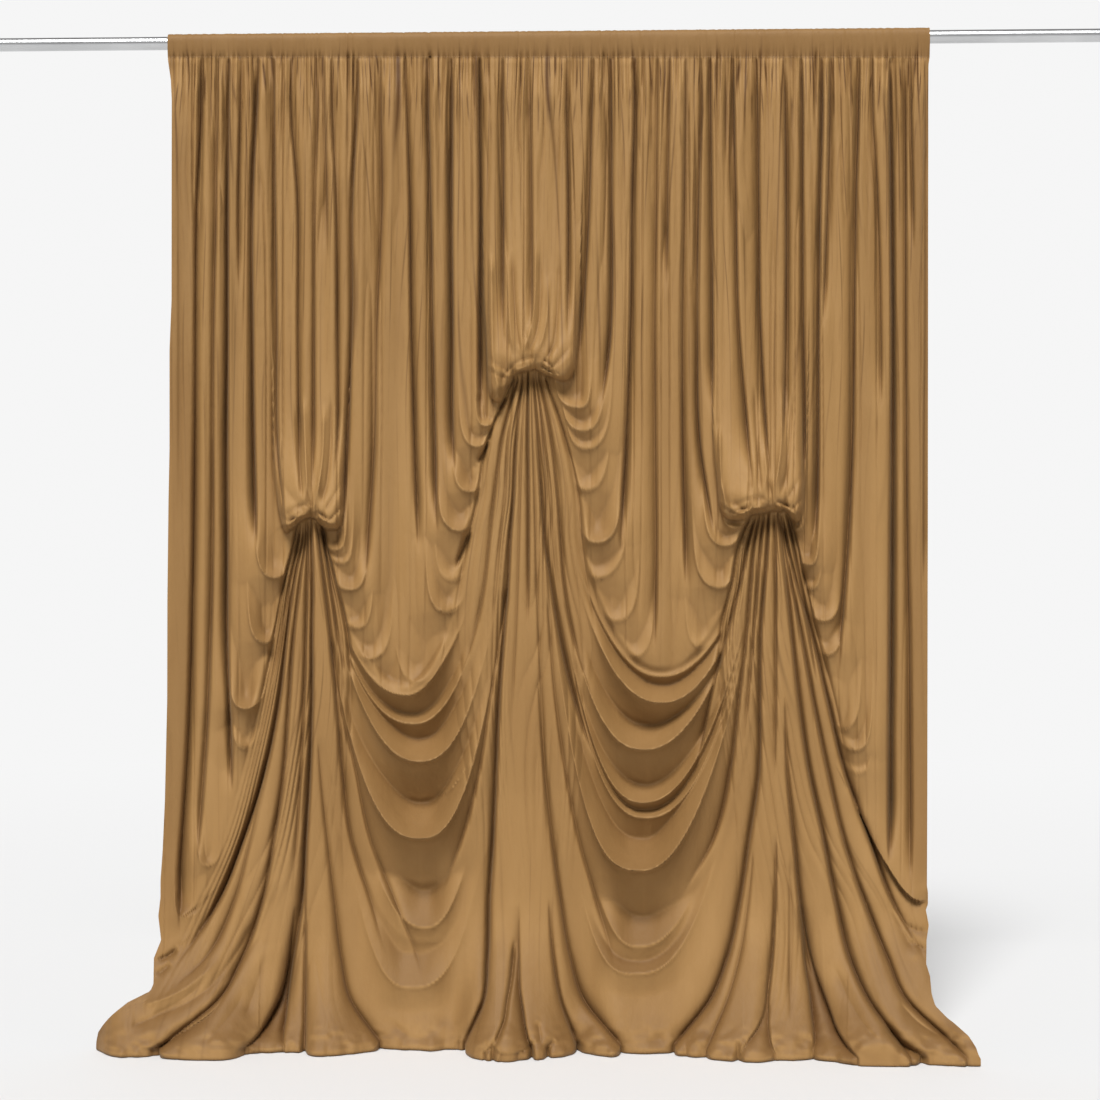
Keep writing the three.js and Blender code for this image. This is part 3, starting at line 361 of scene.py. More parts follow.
# Hanging loops beside the fans: the lowest point, x of the outer and of the inner side, height.
Loop = namedtuple("Loop", "x drop outer inner high")
LOOPS = [Loop(*row) for row in (
    (486, 426, 478, 503, 18), (479, 447, 460, 492, 18),
    (471, 492, 453, 483, 18), (461, 531, 437, 477, 20), (453, 580, 436, 466, 10),
    (448, 612, 427, 463, 18), (419, 682, 396, 440, 10),
    (581, 408, 592, 562, 18), (584, 431, 606, 568, 18), (587, 449, 613, 572, 16),
    (587, 490, 611, 576, 14), (598, 543, 624, 583, 22), (597, 578, 631, 586, 14),
    (618, 621, 640, 602, 12), (635, 657, 655, 620, 10),
    (276, 578, 256, 291, 20), (267, 643, 249, 279, 20),
    (247, 709, 229, 262, 24), (247, 748, 232, 252, 12), (209, 866, 199, 216, 10),
    (184, 917, 177, 200, 12),
    (337, 550, 347, 328, 14), (344, 563, 353, 331, 12), (352, 590, 369, 335, 18),
    (359, 628, 373, 340, 14), (371, 659, 394, 352, 14),
    (735, 528, 723, 748, 16), (727, 546, 704, 742, 18), (721, 588, 693, 734, 18),
    (704, 648, 687, 718, 10),
    (799, 529, 806, 789, 12), (811, 565, 819, 797, 18), (813, 588, 822, 801, 12),
    (826, 621, 843, 808, 16), (828, 655, 845, 812, 16), (845, 729, 862, 832, 12),
    (858, 750, 873, 842, 14), (861, 773, 874, 846, 8),
)]

# Notches between the lumps of cloth on the floor: x, depth, width, the drop where each starts.
Notch = namedtuple("Notch", "x deep wide start")
NOTCHES = [Notch(*row) for row in (
    (265, 12, 2, 1040), (306.5, 20, 1.5, 1020), (331, 8, 3, 1038), (460, 22, 2, 1034), (497, 18, 1.5, 1034),
    (535, 20, 1.5, 1036), (551, 12, 1.5, 1040), (580, 24, 2, 1034), (689, 12, 2.5, 1036), (742, 20, 2, 1036),
    (816, 14, 2, 1036), (905, 14, 2, 1044),
)]

# Painted shade on long panels that turn a little away from the light: x at TURNED_DROP, half their width,
# how much darker they are painted, and where each starts and ends.
Turned = namedtuple("Turned", "x half dark start end")
TURNED_DROP = (57, 330, 640, 900)
TURNED = [Turned(*row) for row in (
    ((180, 181, 180, 174), 13, 0.26, 80, 960),
    ((236, 234, 232, 230), 6, 0.12, 100, 520),
    ((398, 394, 382, 380), 11, 0.14, 260, 640),
    ((440, 440, 446, 446), 6, 0.10, 300, 520),
    ((664, 664, 664, 664), 8, 0.10, 300, 700),
    ((694, 693, 698, 698), 7, 0.12, 260, 640),
    ((868, 866, 862, 860), 8, 0.12, 120, 640),
    ((919, 920, 921, 922), 9, 0.22, 70, 920),
)]

# Small gathers right under the stitch line: pitch, height, and the drop where they have run out.
Gather = namedtuple("Gather", "pitch high low")
GATHERS = [Gather(4.7, 3.4, 125), Gather(7.6, 5.0, 175), Gather(13.5, 5.0, 330)]


# Shape helpers
def smooth(a, b, v):
    """Rises softly from 0 at a to 1 at b."""
    t = np.clip((v - a) / (b - a), 0, 1)
    return t * t * (3 - 2 * t)


def window(a, b, c, d, v):
    """Rises from 0 to 1 between a and b, and falls back to 0 between c and d."""
    return smooth(a, b, v) * (1 - smooth(c, d, v))


GRID_STEPS = np.arange(-20, 1180, 1.0)
line_cache = {}


def smooth_through(places, values, at):
    """A smooth line through values at rising places, held flat beyond its ends."""
    places, values = np.array(places, float), np.array(values, float)
    at = np.clip(at, places[0], places[-1])
    slope = np.gradient(values, places)
    i = np.clip(np.searchsorted(places, at, side="right") - 1, 0, len(places) - 2)
    span = places[i + 1] - places[i]
    t = (at - places[i]) / span
    rise = t * t * (3 - 2 * t)
    return (values[i] * (1 - rise) + values[i + 1] * rise
            + t * (1 - t) ** 2 * span * slope[i] - t * t * (1 - t) * span * slope[i + 1])


def line(places, values, at):
    """Like smooth_through, but worked out once per grid step, and going straight on past its last place."""
    key = (tuple(places), tuple(values))
    if key not in line_cache:
        last_slope = (values[-1] - values[-2]) / (places[-1] - places[-2])
        past = np.clip(GRID_STEPS - places[-1], 0, 30)
        line_cache[key] = smooth_through(places, values, GRID_STEPS) + past * last_slope
    return np.interp(at, GRID_STEPS, line_cache[key])


def soft_line(places, values, at, blur=8):
    """Like smooth_through, but blurred over so many grid steps."""
    key = ("soft", tuple(places), tuple(values))
    if key not in line_cache:
        reach = np.arange(-3 * blur, 3 * blur + 1)
        weight = np.exp(-0.5 * (reach / blur) ** 2)
        padded = np.pad(smooth_through(places, values, GRID_STEPS), 3 * blur, mode="edge")
        line_cache[key] = np.convolve(padded, weight / weight.sum(), "valid")
    return np.interp(at, GRID_STEPS, line_cache[key])


def groove(off, wide, round_by=1.0):
    """1 in the middle of a groove, falling off with the distance; its bottom is rounded by round_by."""
    return np.exp(-(np.sqrt(off * off + round_by * round_by) - round_by) / wide)


def noise(x, y, seed):
    """Smooth random values from -1 to 1 over a grid of whole steps."""
    values = np.random.RandomState(seed).uniform(-1, 1, (128, 128))
    i = np.floor(x).astype(int)
    j = np.floor(y).astype(int)
    t = x - i
    u = y - j
    t = t * t * (3 - 2 * t)
    u = u * u * (3 - 2 * u)
    i, j = i % 128, j % 128
    k, m = (i + 1) % 128, (j + 1) % 128
    low = values[i, j] * (1 - t) + values[k, j] * t
    high = values[i, m] * (1 - t) + values[k, m] * t
    return low * (1 - u) + high * u


def hanging_curve(x, drop, x0, drop0, half, droop, power):
    """Signed distance to a hanging loop, less than 0 inside it; its sides rise to half on both sides."""
    up = drop0 - drop
    ratio = np.where(up >= 0, droop / (droop + np.maximum(up, 0)), 1 - np.minimum(up, 0) / droop)
    steep = np.where(up >= 0, -droop / (droop + np.maximum(up, 0)) ** 2, -1 / droop)
    across = np.abs(x - x0) / half
    value = across**power + ratio**2 - 1
    slope_x = power * across ** (power - 1) / half
    slope_y = 2 * ratio * steep
    return value / np.sqrt(slope_x**2 + slope_y**2 + 4e-6)


# The folds
def lean(x, drop):
    """How far the cloth as a whole stands out, from the pocket forward to the outline of its foot."""
    foot = soft_line(FOOT_X, FOOT_OUT, x)
    return soft_line(LEAN_DROP, LEAN_OUT, drop) + (foot - FOOT_MEAN) * smooth(880, FLOOR_DROP, drop) ** 1.3


def upright_parts(x, drop):
    """Each groove with the distance across it and how far it is there."""
    for fold in UPRIGHTS:
        off = x - line(UPRIGHT_DROP, fold.x, drop)
        yield fold, off, 1 - smooth(fold.end - 70, fold.end, drop)


# Below the stitch line the cloth comes forward by UPRIGHT_OUT, and its grooves reach their depth at
# UPRIGHT_GROWN. Their widths are taken times STEEP_SIDE on one side and times SOFT_SIDE on the other.
UPRIGHT_OUT = 14.0
UPRIGHT_GROWN = 100
STEEP_SIDE = 0.3
SOFT_SIDE = 0.8


def uprights(x, drop):
    """Each groove has a steep side and a soft one, and they change sides from fold to fold."""
    grown = smooth(STITCH_DROP, UPRIGHT_GROWN, drop)
    top = 0.25 * smooth(STITCH_DROP, STITCH_DROP + 5, drop) + 0.75 * grown
    out = UPRIGHT_OUT * grown
    broad = 0.2 + 0.8 * smooth(280, 450, drop)
    for k, (fold, off, on) in enumerate(upright_parts(x, drop)):
        turn = 1 if k % 3 else -1
        steep = np.where(off * turn > 0, STEEP_SIDE, SOFT_SIDE)
        sharp = groove(off, fold.wide * steep, 0.4) - 0.35 * turn * np.tanh(off) * np.exp(-np.abs(off) / 11)
        out -= fold.deep * top * on * (2.0 * sharp + broad * groove(off, 7.0, 2.0))
    return out


def gathers(x, drop):
    """The ruffle of small rounded ridges on both sides of the stitch line."""
    out = np.zeros_like(x)
    for k, gather in enumerate(GATHERS):
        drift = 0.9 * noise(x / 23 + 50 * k, x * 0, 3 + k) + 0.3 * noise(x / 9, drop / 60, 9 + k)
        share = 0.6 + 0.5 * noise(x / 11, drop / 90, 31 + k)
        fade = (1 - smooth(62, gather.low, drop)) ** 0.8
        out += gather.high * share * fade * (2 * np.abs(np.sin(np.pi * (x / gather.pitch + drift))) - 1.3)
    return out


def unevenness(x, drop):
    """Shallow upright waves and single sharp pleats all over the hanging cloth."""
    on = smooth(80, 160, drop)
    pleat = 1 - np.abs(noise(x / 9, drop / 420, 25)) * 2
    low = 1 - 0.6 * smooth(330, 560, drop)
    fine = 4.5 * low * noise(x / 9.5, drop / 260, 21)
    broad = (9 - 3 * low) * noise(x / 17 + 40, drop / 300, 22)
    return on * (fine + broad - 7.0 * low * np.clip(pleat, 0, 1) ** 4)


def lip(s, high, below, hollow, rise, sink):
    """Depth across a swag's lip: s is the distance under it, high its height, hollow the depth it falls to.

    Above the lip the cloth slopes out to it by rise, and past its hollow it goes on back by sink."""
    under = np.maximum(s, 0)
    fall = 0.1 * np.exp(-under / 1.2) + 0.9 * np.clip(1 - under / below, 0, 1) ** 1.5
    past = sink * STEP * np.maximum(under - 0.7 * below, 0)
    return np.where(s > 0, (high + hollow) * fall - hollow - past, high + rise * STEP * s)


def loops(x, drop):
    """Small hanging loops, steep on the side away from their fan and running out on the other."""
    out = np.zeros_like(x)
    for loop in LOOPS:
        outward = (x - loop.x) * (loop.outer - loop.x) > 0
        half = np.where(outward, abs(loop.outer - loop.x) + 2.0, abs(loop.inner - loop.x) + 9.0)
        size = abs(loop.outer - loop.inner)
        s = hanging_curve(x, drop, loop.x, loop.drop, half, 9.0 + 1.2 * abs(loop.outer - loop.x), 2.0)
        fade = np.exp(-((np.maximum(loop.drop - drop, 0) / (16 + 1.3 * size)) ** 1.3))
        under = np.maximum(s, 0)
        fall = 0.15 * np.exp(-under / 1.0) + 0.85 * np.clip(1 - under / (10 + 0.6 * size), 0, 1) ** 1.8
        rise = np.exp(np.minimum(s, 0) / (7.0 + 0.3 * size))
        out = np.maximum(out, 2.4 * loop.high * fade * np.where(s > 0, fall, rise))
    return out


# In grid steps, how far beside its tie a swag comes out from under the fan. In millimetres, how soft the
# bend is where one swag's slope meets the next. And how steeply the cloth goes back behind the next one.
SWAG_START = 26
SWAG_BEND = 3.0
SWAG_SINK = 0.35


def swags(x, drop):
    """Depth of the swags, and how surely a point is in or under them."""
    out = np.zeros_like(x)
    under = np.zeros_like(x)
    for left_tie, right_tie in ((0, 1), (1, 2)):
        start, end = TIES[left_tie].x, TIES[right_tie].x
        family = None
        ours = [swag for swag in SWAGS if swag.left == left_tie]
        for swag in ours:
            left = x < swag.x
            tie_x = np.where(left, start, end)
            tie_drop = np.where(left, TIES[left_tie].drop, TIES[right_tie].drop)
            power = np.where(left, swag.power_left, swag.power_right)
            span = np.abs(tie_x - swag.x)
            t = np.clip(np.abs(x - swag.x) / span, 1e-3, 1.2)
            fall = swag.drop - tie_drop
            slope = fall * power * t ** (power - 1) / span
            s = (drop - swag.drop + fall * t**power) / np.sqrt(1 + slope**2)
            side = smooth(0.15, 0.75, t)
            high = swag.high + (swag.side - swag.high) * side
            hollow = swag.hollow * (1 - side)
            if family is None:
                family = np.where(s < 0, 0, -3 * STEP * s)
                first = s
            sink = 0.0 if swag is ours[-1] else SWAG_SINK
            part = lip(s, high, swag.below * (1 - 0.6 * t), hollow, swag.rise, sink)
            family = SWAG_BEND * np.logaddexp(family / SWAG_BEND, part / SWAG_BEND)
        between_ties = window(start, start + SWAG_START, end - SWAG_START, end, x)
        out += family * between_ties
        under = np.maximum(under, between_ties * smooth(-12, 2, first))
    return out, under


# How far the middle of a fan stands out at so many steps below its tie, on top of FAN_OUT for all of it,
# and how many fine pleats it has.
FAN_BELOW = (0, 60, 200, 420)
FAN_HIGH = (22, 34, 40, 14)
FAN_OUT = 12
FAN_PLEATS = 12


def fan_body(x, drop):
    """How far the body of a fan stands out, and how far inside one a point is."""
    body = np.zeros_like(x)
    inside = np.zeros_like(x)
    out = np.zeros_like(x)
    for k, (tie, sides) in enumerate(zip(TIES, FAN_SIDES)):
        left = line(FAN_DROP, sides.left, drop)
        right = line(FAN_DROP, sides.right, drop)
        low = smooth(tie.drop + 60, tie.drop + 300, drop)
        t = np.clip((x - left) / np.maximum(right - left, 5), 0, 1)
        arch = (4 * t * (1 - t)) ** (0.45 + 0.75 * low)
        high = np.interp(drop - tie.drop, FAN_BELOW, FAN_HIGH)
        blur = 1.5 + 16 * low
        near = smooth(-blur, blur, x - left) * (1 - smooth(-blur, blur, x - right))
        near = near * smooth(tie.drop - 6, tie.drop, drop)
        pleat = np.abs(np.sin(np.pi * (FAN_PLEATS * t + 2.4 * noise(5 * t + 20 * k, drop / 260, 91))))
        share = 0.5 + 0.5 * noise(9 * t + 40 * k, drop / 200, 93)
        fine = 3.0 * (2 * pleat**0.8 - 1.3) * share * (1 - smooth(tie.drop + 380, tie.drop + 560, drop))
        side = groove(x - left, 1.4, 0.5) + groove(x - right, 1.4, 0.5)
        side = side * (1 - low) * smooth(tie.drop, tie.drop + 12, drop)
        out -= 16 * side * (0.7 + 0.5 * noise(drop / 23 + 30 * k, drop * 0, 57))
        body = np.maximum(body, near * (arch * high + FAN_OUT + fine))
        inside = np.maximum(inside, near)
    return body + out, inside


# A groove that ends below FAN_FOOT runs on to the hem, and all are shallower towards it.
FAN_FOOT = 1050


def fan_parts(x, drop):
    """Each groove of a fan with the distance across it, its depth and its width there."""
    for fold in FANS:
        at = line(FAN_DROP, fold.x, drop)
        slope = (line(FAN_DROP, fold.x, drop + 2) - at) / 2
        t = np.clip((drop - fold.start) / (fold.end - fold.start), 0, 1)
        on = smooth(fold.start - 6, fold.start + 14, drop)
        if fold.end < FAN_FOOT:
            on = on * (1 - smooth(fold.end - 0.2 * (fold.end - fold.start) - 20, fold.end, drop))
        off = (x - at) / np.sqrt(1 + slope**2)
        deep = fold.deep_start + (fold.deep_end - fold.deep_start) * t
        deep = deep * (1 - 0.5 * smooth(1030, 1062, drop))
        yield off, deep * on, fold.wide_start + (fold.wide_end - fold.wide_start) * t


# The steep side of a fan's groove faces its tie: 1 to the right, -1 to the left.
FAN_STEEP = [1 if fold.x[-1] < min((tie.x for tie in TIES), key=lambda at: abs(at - fold.x[1])) else -1
             for fold in FANS]


def fan_grooves(x, drop):
    """Each groove is steep on its tie's side, where a fold stands in front, and soft on the other."""
    out = np.zeros_like(x)
    for steep_side, (off, deep, wide) in zip(FAN_STEEP, fan_parts(x, drop)):
        outer = off * steep_side < 0
        sharp = groove(off, np.where(outer, 0.9, 0.3) * wide, 0.4)
        broad = groove(off, np.where(outer, 3.6, 0.7) * wide, 1.0)
        out -= deep * (1.0 * sharp + 0.85 * broad)
    return out


# The depths from which the painted shade in a groove's bottom is as dark as it gets, and the distance beyond
# which no groove is near.
UPRIGHT_DARKEST = 16
FAN_DARKEST = 40
NONE_NEAR = 4.0


def fold_lines(x, drop, hidden):
    """For the material: distance to the nearest sharp groove, and how dark the shade painted in its bottom is.
    """
    nearest = np.full(x.shape, NONE_NEAR)
    dark = np.zeros_like(x)
    shown = smooth(56, 60, drop) * (1 - hidden)
    found = [(off, np.clip(fold.deep / UPRIGHT_DARKEST, 0, 1) * on * shown)
             for fold, off, on in upright_parts(x, drop)]
    found += [(off, np.clip(deep / FAN_DARKEST, 0, 1)) for off, deep, wide in fan_parts(x, drop)]
    for k, (off, share) in enumerate(found):
        closer = (np.abs(off) < np.abs(nearest)) & (share > 0.03)
        nearest = np.where(closer, off, nearest)
        dark = np.where(closer, share * (0.65 + 0.45 * noise(drop / 60 + 11 * k, drop * 0, 71)), dark)
    return nearest, dark * (1 - smooth(2.0, 3.5, np.abs(nearest)))


def puffs(x, drop):
    """The puff over each tie: it swells down to a lip, with fine rays and a hollow under it."""
    out = np.zeros_like(x)
    for tie in TIES:
        beyond = np.maximum(tie.lip_x[0] - x, 0) + np.maximum(x - tie.lip_x[-1], 0)
        before, lip_drop, after = (smooth_through(tie.lip_x, tie.lip_drop, x + off) for off in (-0.5, 0, 0.5))
        s = (drop - lip_drop + 60 * beyond) / np.sqrt(1 + (after - before) ** 2) + beyond
        up = np.maximum(tie.drop - drop, 0)
        across = (x - tie.x) / PUFF_HALF
        rising = soft_line(PUFF_UP, PUFF_SHARE, up, 4)
        near = np.minimum(s, 0)
        face = np.where(s < 0, 1 - 0.55 * np.exp(near / 5), 0.45 * np.exp(-np.maximum(s, 0) / 1.2))
        centre = tie.drop + RAY_CENTRE
        turn = np.arctan2(x - tie.x, centre - drop)
        away = np.hypot(x - tie.x, drop - centre)
        fine = np.abs(np.sin(6.5 * turn + 2.2 * noise(4 * turn + 9, away / 60, 77))) - 0.5
        rays = PUFF_RAYS * fine * np.exp(-(((away - 38) / 18) ** 2))
        hollow = -PUFF_HOLLOW * np.exp(-np.maximum(s, 0) / 5) * np.exp(-((across * 1.2) ** 4))
        hollow = hollow * smooth(tie.drop - 30, tie.drop - 10, drop)
        out += rising * PUFF_HIGH * face + np.where(s < 0, rays, hollow)
    return out


def near_points(x, drop, px, py, reach):
    """Which places lie near a line through points, and there the distance, the side and how far along."""
    box = (x > min(px) - reach) & (x < max(px) + reach) & (drop > min(py) - reach) & (drop < max(py) + reach)
    bx, by = x[box], drop[box]
    places = np.arange(len(px), dtype=float)
    at = np.linspace(0, places[-1], 8 * len(places))
    cx, cy = smooth_through(places, px, at), smooth_through(places, py, at)
    best = np.full(bx.shape, 1e9)
    side = np.zeros(bx.shape)
    along = np.zeros(bx.shape)
    for k in range(len(at) - 1):
        run_x, run_y = cx[k + 1] - cx[k], cy[k + 1] - cy[k]
        t = np.clip(((bx - cx[k]) * run_x + (by - cy[k]) * run_y) / (run_x**2 + run_y**2), 0, 1)
        away = np.hypot(bx - cx[k] - t * run_x, by - cy[k] - t * run_y)
        closer = away < best
        best = np.where(closer, away, best)
        side = np.where(closer, np.sign(run_x * (by - cy[k]) - run_y * (bx - cx[k])), side)
        along = np.where(closer, at[k] + t * (at[k + 1] - at[k]), along)
    return box, best, side, along


# How many steps around a crease the cloth is drawn with it, and how much deeper it is than its row says.
CREASE_REACH = 30
CREASE_DEEPER = 1.6


def creases(x, drop):
    """Slanting creases that run out at both ends, each with a shelf of cloth over it."""
    out = np.zeros_like(x)
    for crease in CREASES:
        box, best, side, _ = near_points(x, drop, crease.x, crease.drop, CREASE_REACH)
        px, py = x[box], drop[box]
        leftward = -1 if crease.x[-1] > crease.x[0] else 1
        length = np.hypot(crease.x[-1] - crease.x[0], crease.drop[-1] - crease.drop[0])
        run_out = np.clip(0.3 * length, 6, 26)
        ends = smooth(0, run_out, np.hypot(px - crease.x[0], py - crease.drop[0]))
        ends = ends * smooth(0, 0.5 * run_out + 3, np.hypot(px - crease.x[-1], py - crease.drop[-1]))
        value = -crease.deep * CREASE_DEEPER * groove(best, crease.wide)
        value += crease.shelf * np.exp(-best / 10) * np.where(side * leftward > 0, 1, -0.3)
        out[box] += value * ends
    return out


def edge_parts(x, drop):
    """Each edge with the places near it, and there the distance, the side and how deep the cloth falls."""
    for edge in EDGES:
        box, best, side, along = near_points(x, drop, edge.x, edge.drop, 3 * edge.reach)
        yield edge, box, best, side, np.interp(along, np.arange(len(edge.deep)), edge.deep)


def edges(x, drop):
    """Edges of folds that stand in front: steep on one side, soft on the other."""
    out = np.zeros_like(x)
    for edge, box, best, side, deep in edge_parts(x, drop):
        front = 0.7 * np.exp(-best / 0.8) + 0.3 * np.exp(-best / 4)
        out[box] -= deep * np.where(side > 0, front, np.exp(-best / edge.reach))
    return out


# The depths from which the painted shade in a gap beside an edge and in one in a fan is as dark as it gets.
EDGE_GAP_DARKEST = 46
FAN_GAP_DARKEST = 28


def gaps(x, drop):
    """For the material: painted shade, from 0 on open cloth to 1 deep in a gap, on the soft side of a fold's
    edge.
    """
    dark = np.zeros_like(x)
    for edge, box, best, side, deep in edge_parts(x, drop):
        near = np.where(side > 0, np.exp(-best / 0.7), np.exp(-((best / (0.75 * edge.reach)) ** 2)))
        dark[box] = np.maximum(dark[box], np.clip(deep / EDGE_GAP_DARKEST, 0, 1) * near)
    for steep_side, (off, deep, wide) in zip(FAN_STEEP, fan_parts(x, drop)):
        outer = off * steep_side < 0
        near = np.where(outer, np.exp(-np.abs(off) / (1.9 * wide)), np.exp(-np.abs(off) / 0.8))
        dark = np.maximum(dark, 0.5 * np.clip(deep / FAN_GAP_DARKEST, 0, 1) * near)
    return dark


def foot_crumples(x, drop):
    """Small crumples where the foot comes to lie on the floor."""
    low = smooth(1012, 1050, drop)
    return low * (6 * noise(x / 15, drop / 10, 51) + 3 * noise(x / 7 + 9, drop / 5, 52))


def notches(x, drop):
    """Folds pressed in at the foot, which lobe its outline on the floor."""
    out = np.zeros_like(x)
    for notch in NOTCHES:
        on = smooth(notch.start, FLOOR_DROP, drop) ** 0.8
        out -= notch.deep * groove(x - notch.x, notch.wide, 1.5) * on
    return out


def pinch(drop):
    """The stitch line draws the cloth in against the pocket's back."""
    return -5.0 * np.exp(-(((drop - STITCH_DROP) / 2.5) ** 2))


# Between these drops the swags come forward from behind the fans.
SWAGS_IN_FRONT = (600, 760)


def depth(x, drop):
    """How far the cloth's face stands in front of the pole's axis at a place of the layout grid."""
    body, inside = fan_body(x, drop)
    hanging = uprights(x, drop) + gathers(x, drop) + unevenness(x, drop) + loops(x, drop)
    behind = inside * (1 - smooth(*SWAGS_IN_FRONT, drop))
    swag, under = swags(x, drop)
    hanging = hanging * (1 - inside) * (1 - under)
    out = lean(x, drop) + hanging + swag * (1 - behind) + body
    out = out + fan_grooves(x, drop) + puffs(x, drop) + notches(x, drop) + pinch(drop)
    out = out + creases(x, drop) + edges(x, drop) + foot_crumples(x, drop)
    out = BACK + SOFTLY * np.logaddexp(0, (out - BACK) / SOFTLY)
    return FRONT - SOFTLY * np.logaddexp(0, (FRONT - out) / SOFTLY)


# What the material needs from the folds, mostly where to paint their shade
def turned_share(x, drop):
    """How much darker the cloth is painted, as shade, where its panels turn away from the light."""
    out = np.zeros_like(x)
    for panel in TURNED:
        off = (x - line(TURNED_DROP, panel.x, drop)) / panel.half
        on = window(panel.start, panel.start + 80, panel.end - 80, panel.end, drop)
        out = np.maximum(out, panel.dark * on * np.exp(-off**4))
    return out


def pleat_places(x, drop):
    """What the material needs at each point, in the order of ACROSS to DARKER."""
    across = x.copy()
    strength = 0.02 + 0.3 * (1 - smooth(280, 500, drop)) + 0.65 * (1 - smooth(66, 170, drop))
    _, hidden = swags(x, drop)
    strength = strength * smooth(40, 58, drop) * (1 - 0.9 * hidden)
    for k, (tie, sides) in enumerate(zip(TIES, FAN_SIDES)):
        left = line(FAN_DROP, sides.left, drop)
        right = line(FAN_DROP, sides.right, drop)
        below = drop > tie.drop
        within = (x > left) & (x < right) & below
        t = (x - left) / np.maximum(right - left, 5)
        # a fan's pleats have places of their own, far from those of the other fans and of the panel
        across = np.where(within, 2000 + 300 * k + 90 * t, across)
        strength = np.where(within, 0.5 - 0.46 * smooth(tie.drop + 60, tie.drop + 260, drop), strength)
        edge = np.minimum(np.abs(x - left), np.abs(x - right))
        strength = strength * np.where(below, smooth(1, 4, edge), 1)
        hidden = np.where(within, 1, hidden)
    nearest, dark = fold_lines(x, drop, hidden)
    darker = np.maximum(0.9 * gaps(x, drop), turned_share(x, drop) * (1 - hidden))
    return np.stack([across, drop, strength, nearest, dark, darker], axis=-1)


# What pleat_places gives for each point: place across and down and strength of the finest painted pleat lines,
# distance to the nearest sharp groove, how dark the shade painted in it is, and how much darker the cloth is
# painted altogether, as shade in gaps and on turned panels.
ACROSS, DOWN, STRENGTH, DISTANCE, DARK, DARKER = range(6)

# The panel's grid of points: its columns are drawn in by DRAWN_IN at a tie, for DRAWN_WIDTH steps on both
# sides, and follow the cloth's side edges for SIDE_WIDTH steps.
DRAWN_IN = 0.35
DRAWN_WIDTH = 60
SIDE_WIDTH = 70


def column_x(share, drop):
    """Where the columns run: drawn towards the ties, and along both side edges."""
    even = LEFT_X[0] + (RIGHT_X[0] - LEFT_X[0]) * share
    x = even
    for tie in TIES:
        off = even - tie.x
        drawn = window(tie.drop - 200, tie.drop - 10, tie.drop + 60, 960, drop)
        x = x - DRAWN_IN * off * drawn * np.exp(-((off / DRAWN_WIDTH) ** 2))
    left = np.interp(drop, LEFT_DROP, LEFT_X) - LEFT_X[0]
    right = np.interp(drop, RIGHT_DROP, RIGHT_X) - RIGHT_X[0]
    x = x + left * np.exp(-(even - LEFT_X[0]) / SIDE_WIDTH)
    return x + right * np.exp(-(RIGHT_X[0] - even) / SIDE_WIDTH)


def nearness(x, out):
    """How much narrower a step is at a place that stands forward, seen from the eye."""
    return 1 - (out + SKEW * (x - MIDDLE) * STEP) / REACH


def place(x, drop, out):
    """From the layout grid to millimetres in the shared frame."""
    near = nearness(x, out)
    return (x - MIDDLE) * STEP * near, -out, LEVEL_Z + (LEVEL - drop) * STEP * near


def blur_rows(values, sigma):
    """Blurred along the first axis by sigma rows."""
    reach = int(3 * sigma)
    weight = np.exp(-0.5 * (np.arange(-reach, reach + 1) / sigma) ** 2)
    weight /= weight.sum()
    padded = np.pad(values, ((reach, reach), (0, 0)), mode="edge")
    return sum(w * padded[i:i + len(values)] for i, w in enumerate(weight))


# The foot turns under in a roll and is tucked in, with rows at these shares of both. The roll starts
# FOOT_ROLL above the floor, runs on by ROLL_RUN, stands out by ROLL_OUT and comes back by ROLL_BACK, and
# the hem is tucked in by TUCK, more or less.
ROLL_SHARES = (0.14, 0.28, 0.42, 0.56, 0.7, 0.85, 1.0)
TUCK_SHARES = (0.12, 0.3, 0.55, 0.8, 1.0)
FOOT_ROWS = len(ROLL_SHARES) + len(TUCK_SHARES)
FOOT_ROLL = 22.0
ROLL_RUN = 13.0
ROLL_OUT = 6.0
ROLL_BACK = 16.0
TUCK = 55.0
TUCK_VARIES = 12.0

# A first look at the cloth, down to below the floor, shows where rows are needed: along a slope, and
# BEND_NEED more where it bends, up to BEND_MOST.
LOOK_COLUMNS = COLUMNS // 4
LOOK_ROWS = 480
LOOK_END = 1072
BEND_NEED = 2.2
BEND_MOST = 12


def rows_by_need(share):
    """The drops of each column's rows above the foot's roll, closer together where the cloth bends."""
    drops = np.linspace(STITCH_DROP, LOOK_END, LOOK_ROWS)
    rough = np.linspace(0, 1, LOOK_COLUMNS + 1)
    s, d = np.meshgrid(rough, drops, indexing="ij")
    x = column_x(s, d)
    out = depth(x, d)
    _, _, z = place(x, d, out)
    gap = drops[1] - drops[0]
    slope = np.gradient(out, axis=1) / gap
    bend = np.abs(np.gradient(slope, axis=1)) / gap
    need = np.sqrt(STEP**2 + slope**2) + BEND_NEED * np.minimum(bend, BEND_MOST)
    need = blur_rows(blur_rows(need, 2.5).T, 1.5).T
    total = np.cumsum((need[:, 1:] + need[:, :-1]) / 2, axis=1)
    total = np.concatenate([np.zeros((len(rough), 1)), total], axis=1)
    levels = np.empty((len(rough), ROWS - FOOT_ROWS))
    for i in range(len(rough)):
        foot = np.interp(-(FLOOR_Z + FOOT_ROLL), -z[i], drops)
        end = np.interp(foot, drops, total[i])
        levels[i] = np.interp(np.linspace(0, end, ROWS - FOOT_ROWS), total[i], drops)
    return np.stack([np.interp(share, rough, level) for level in levels.T], axis=1)


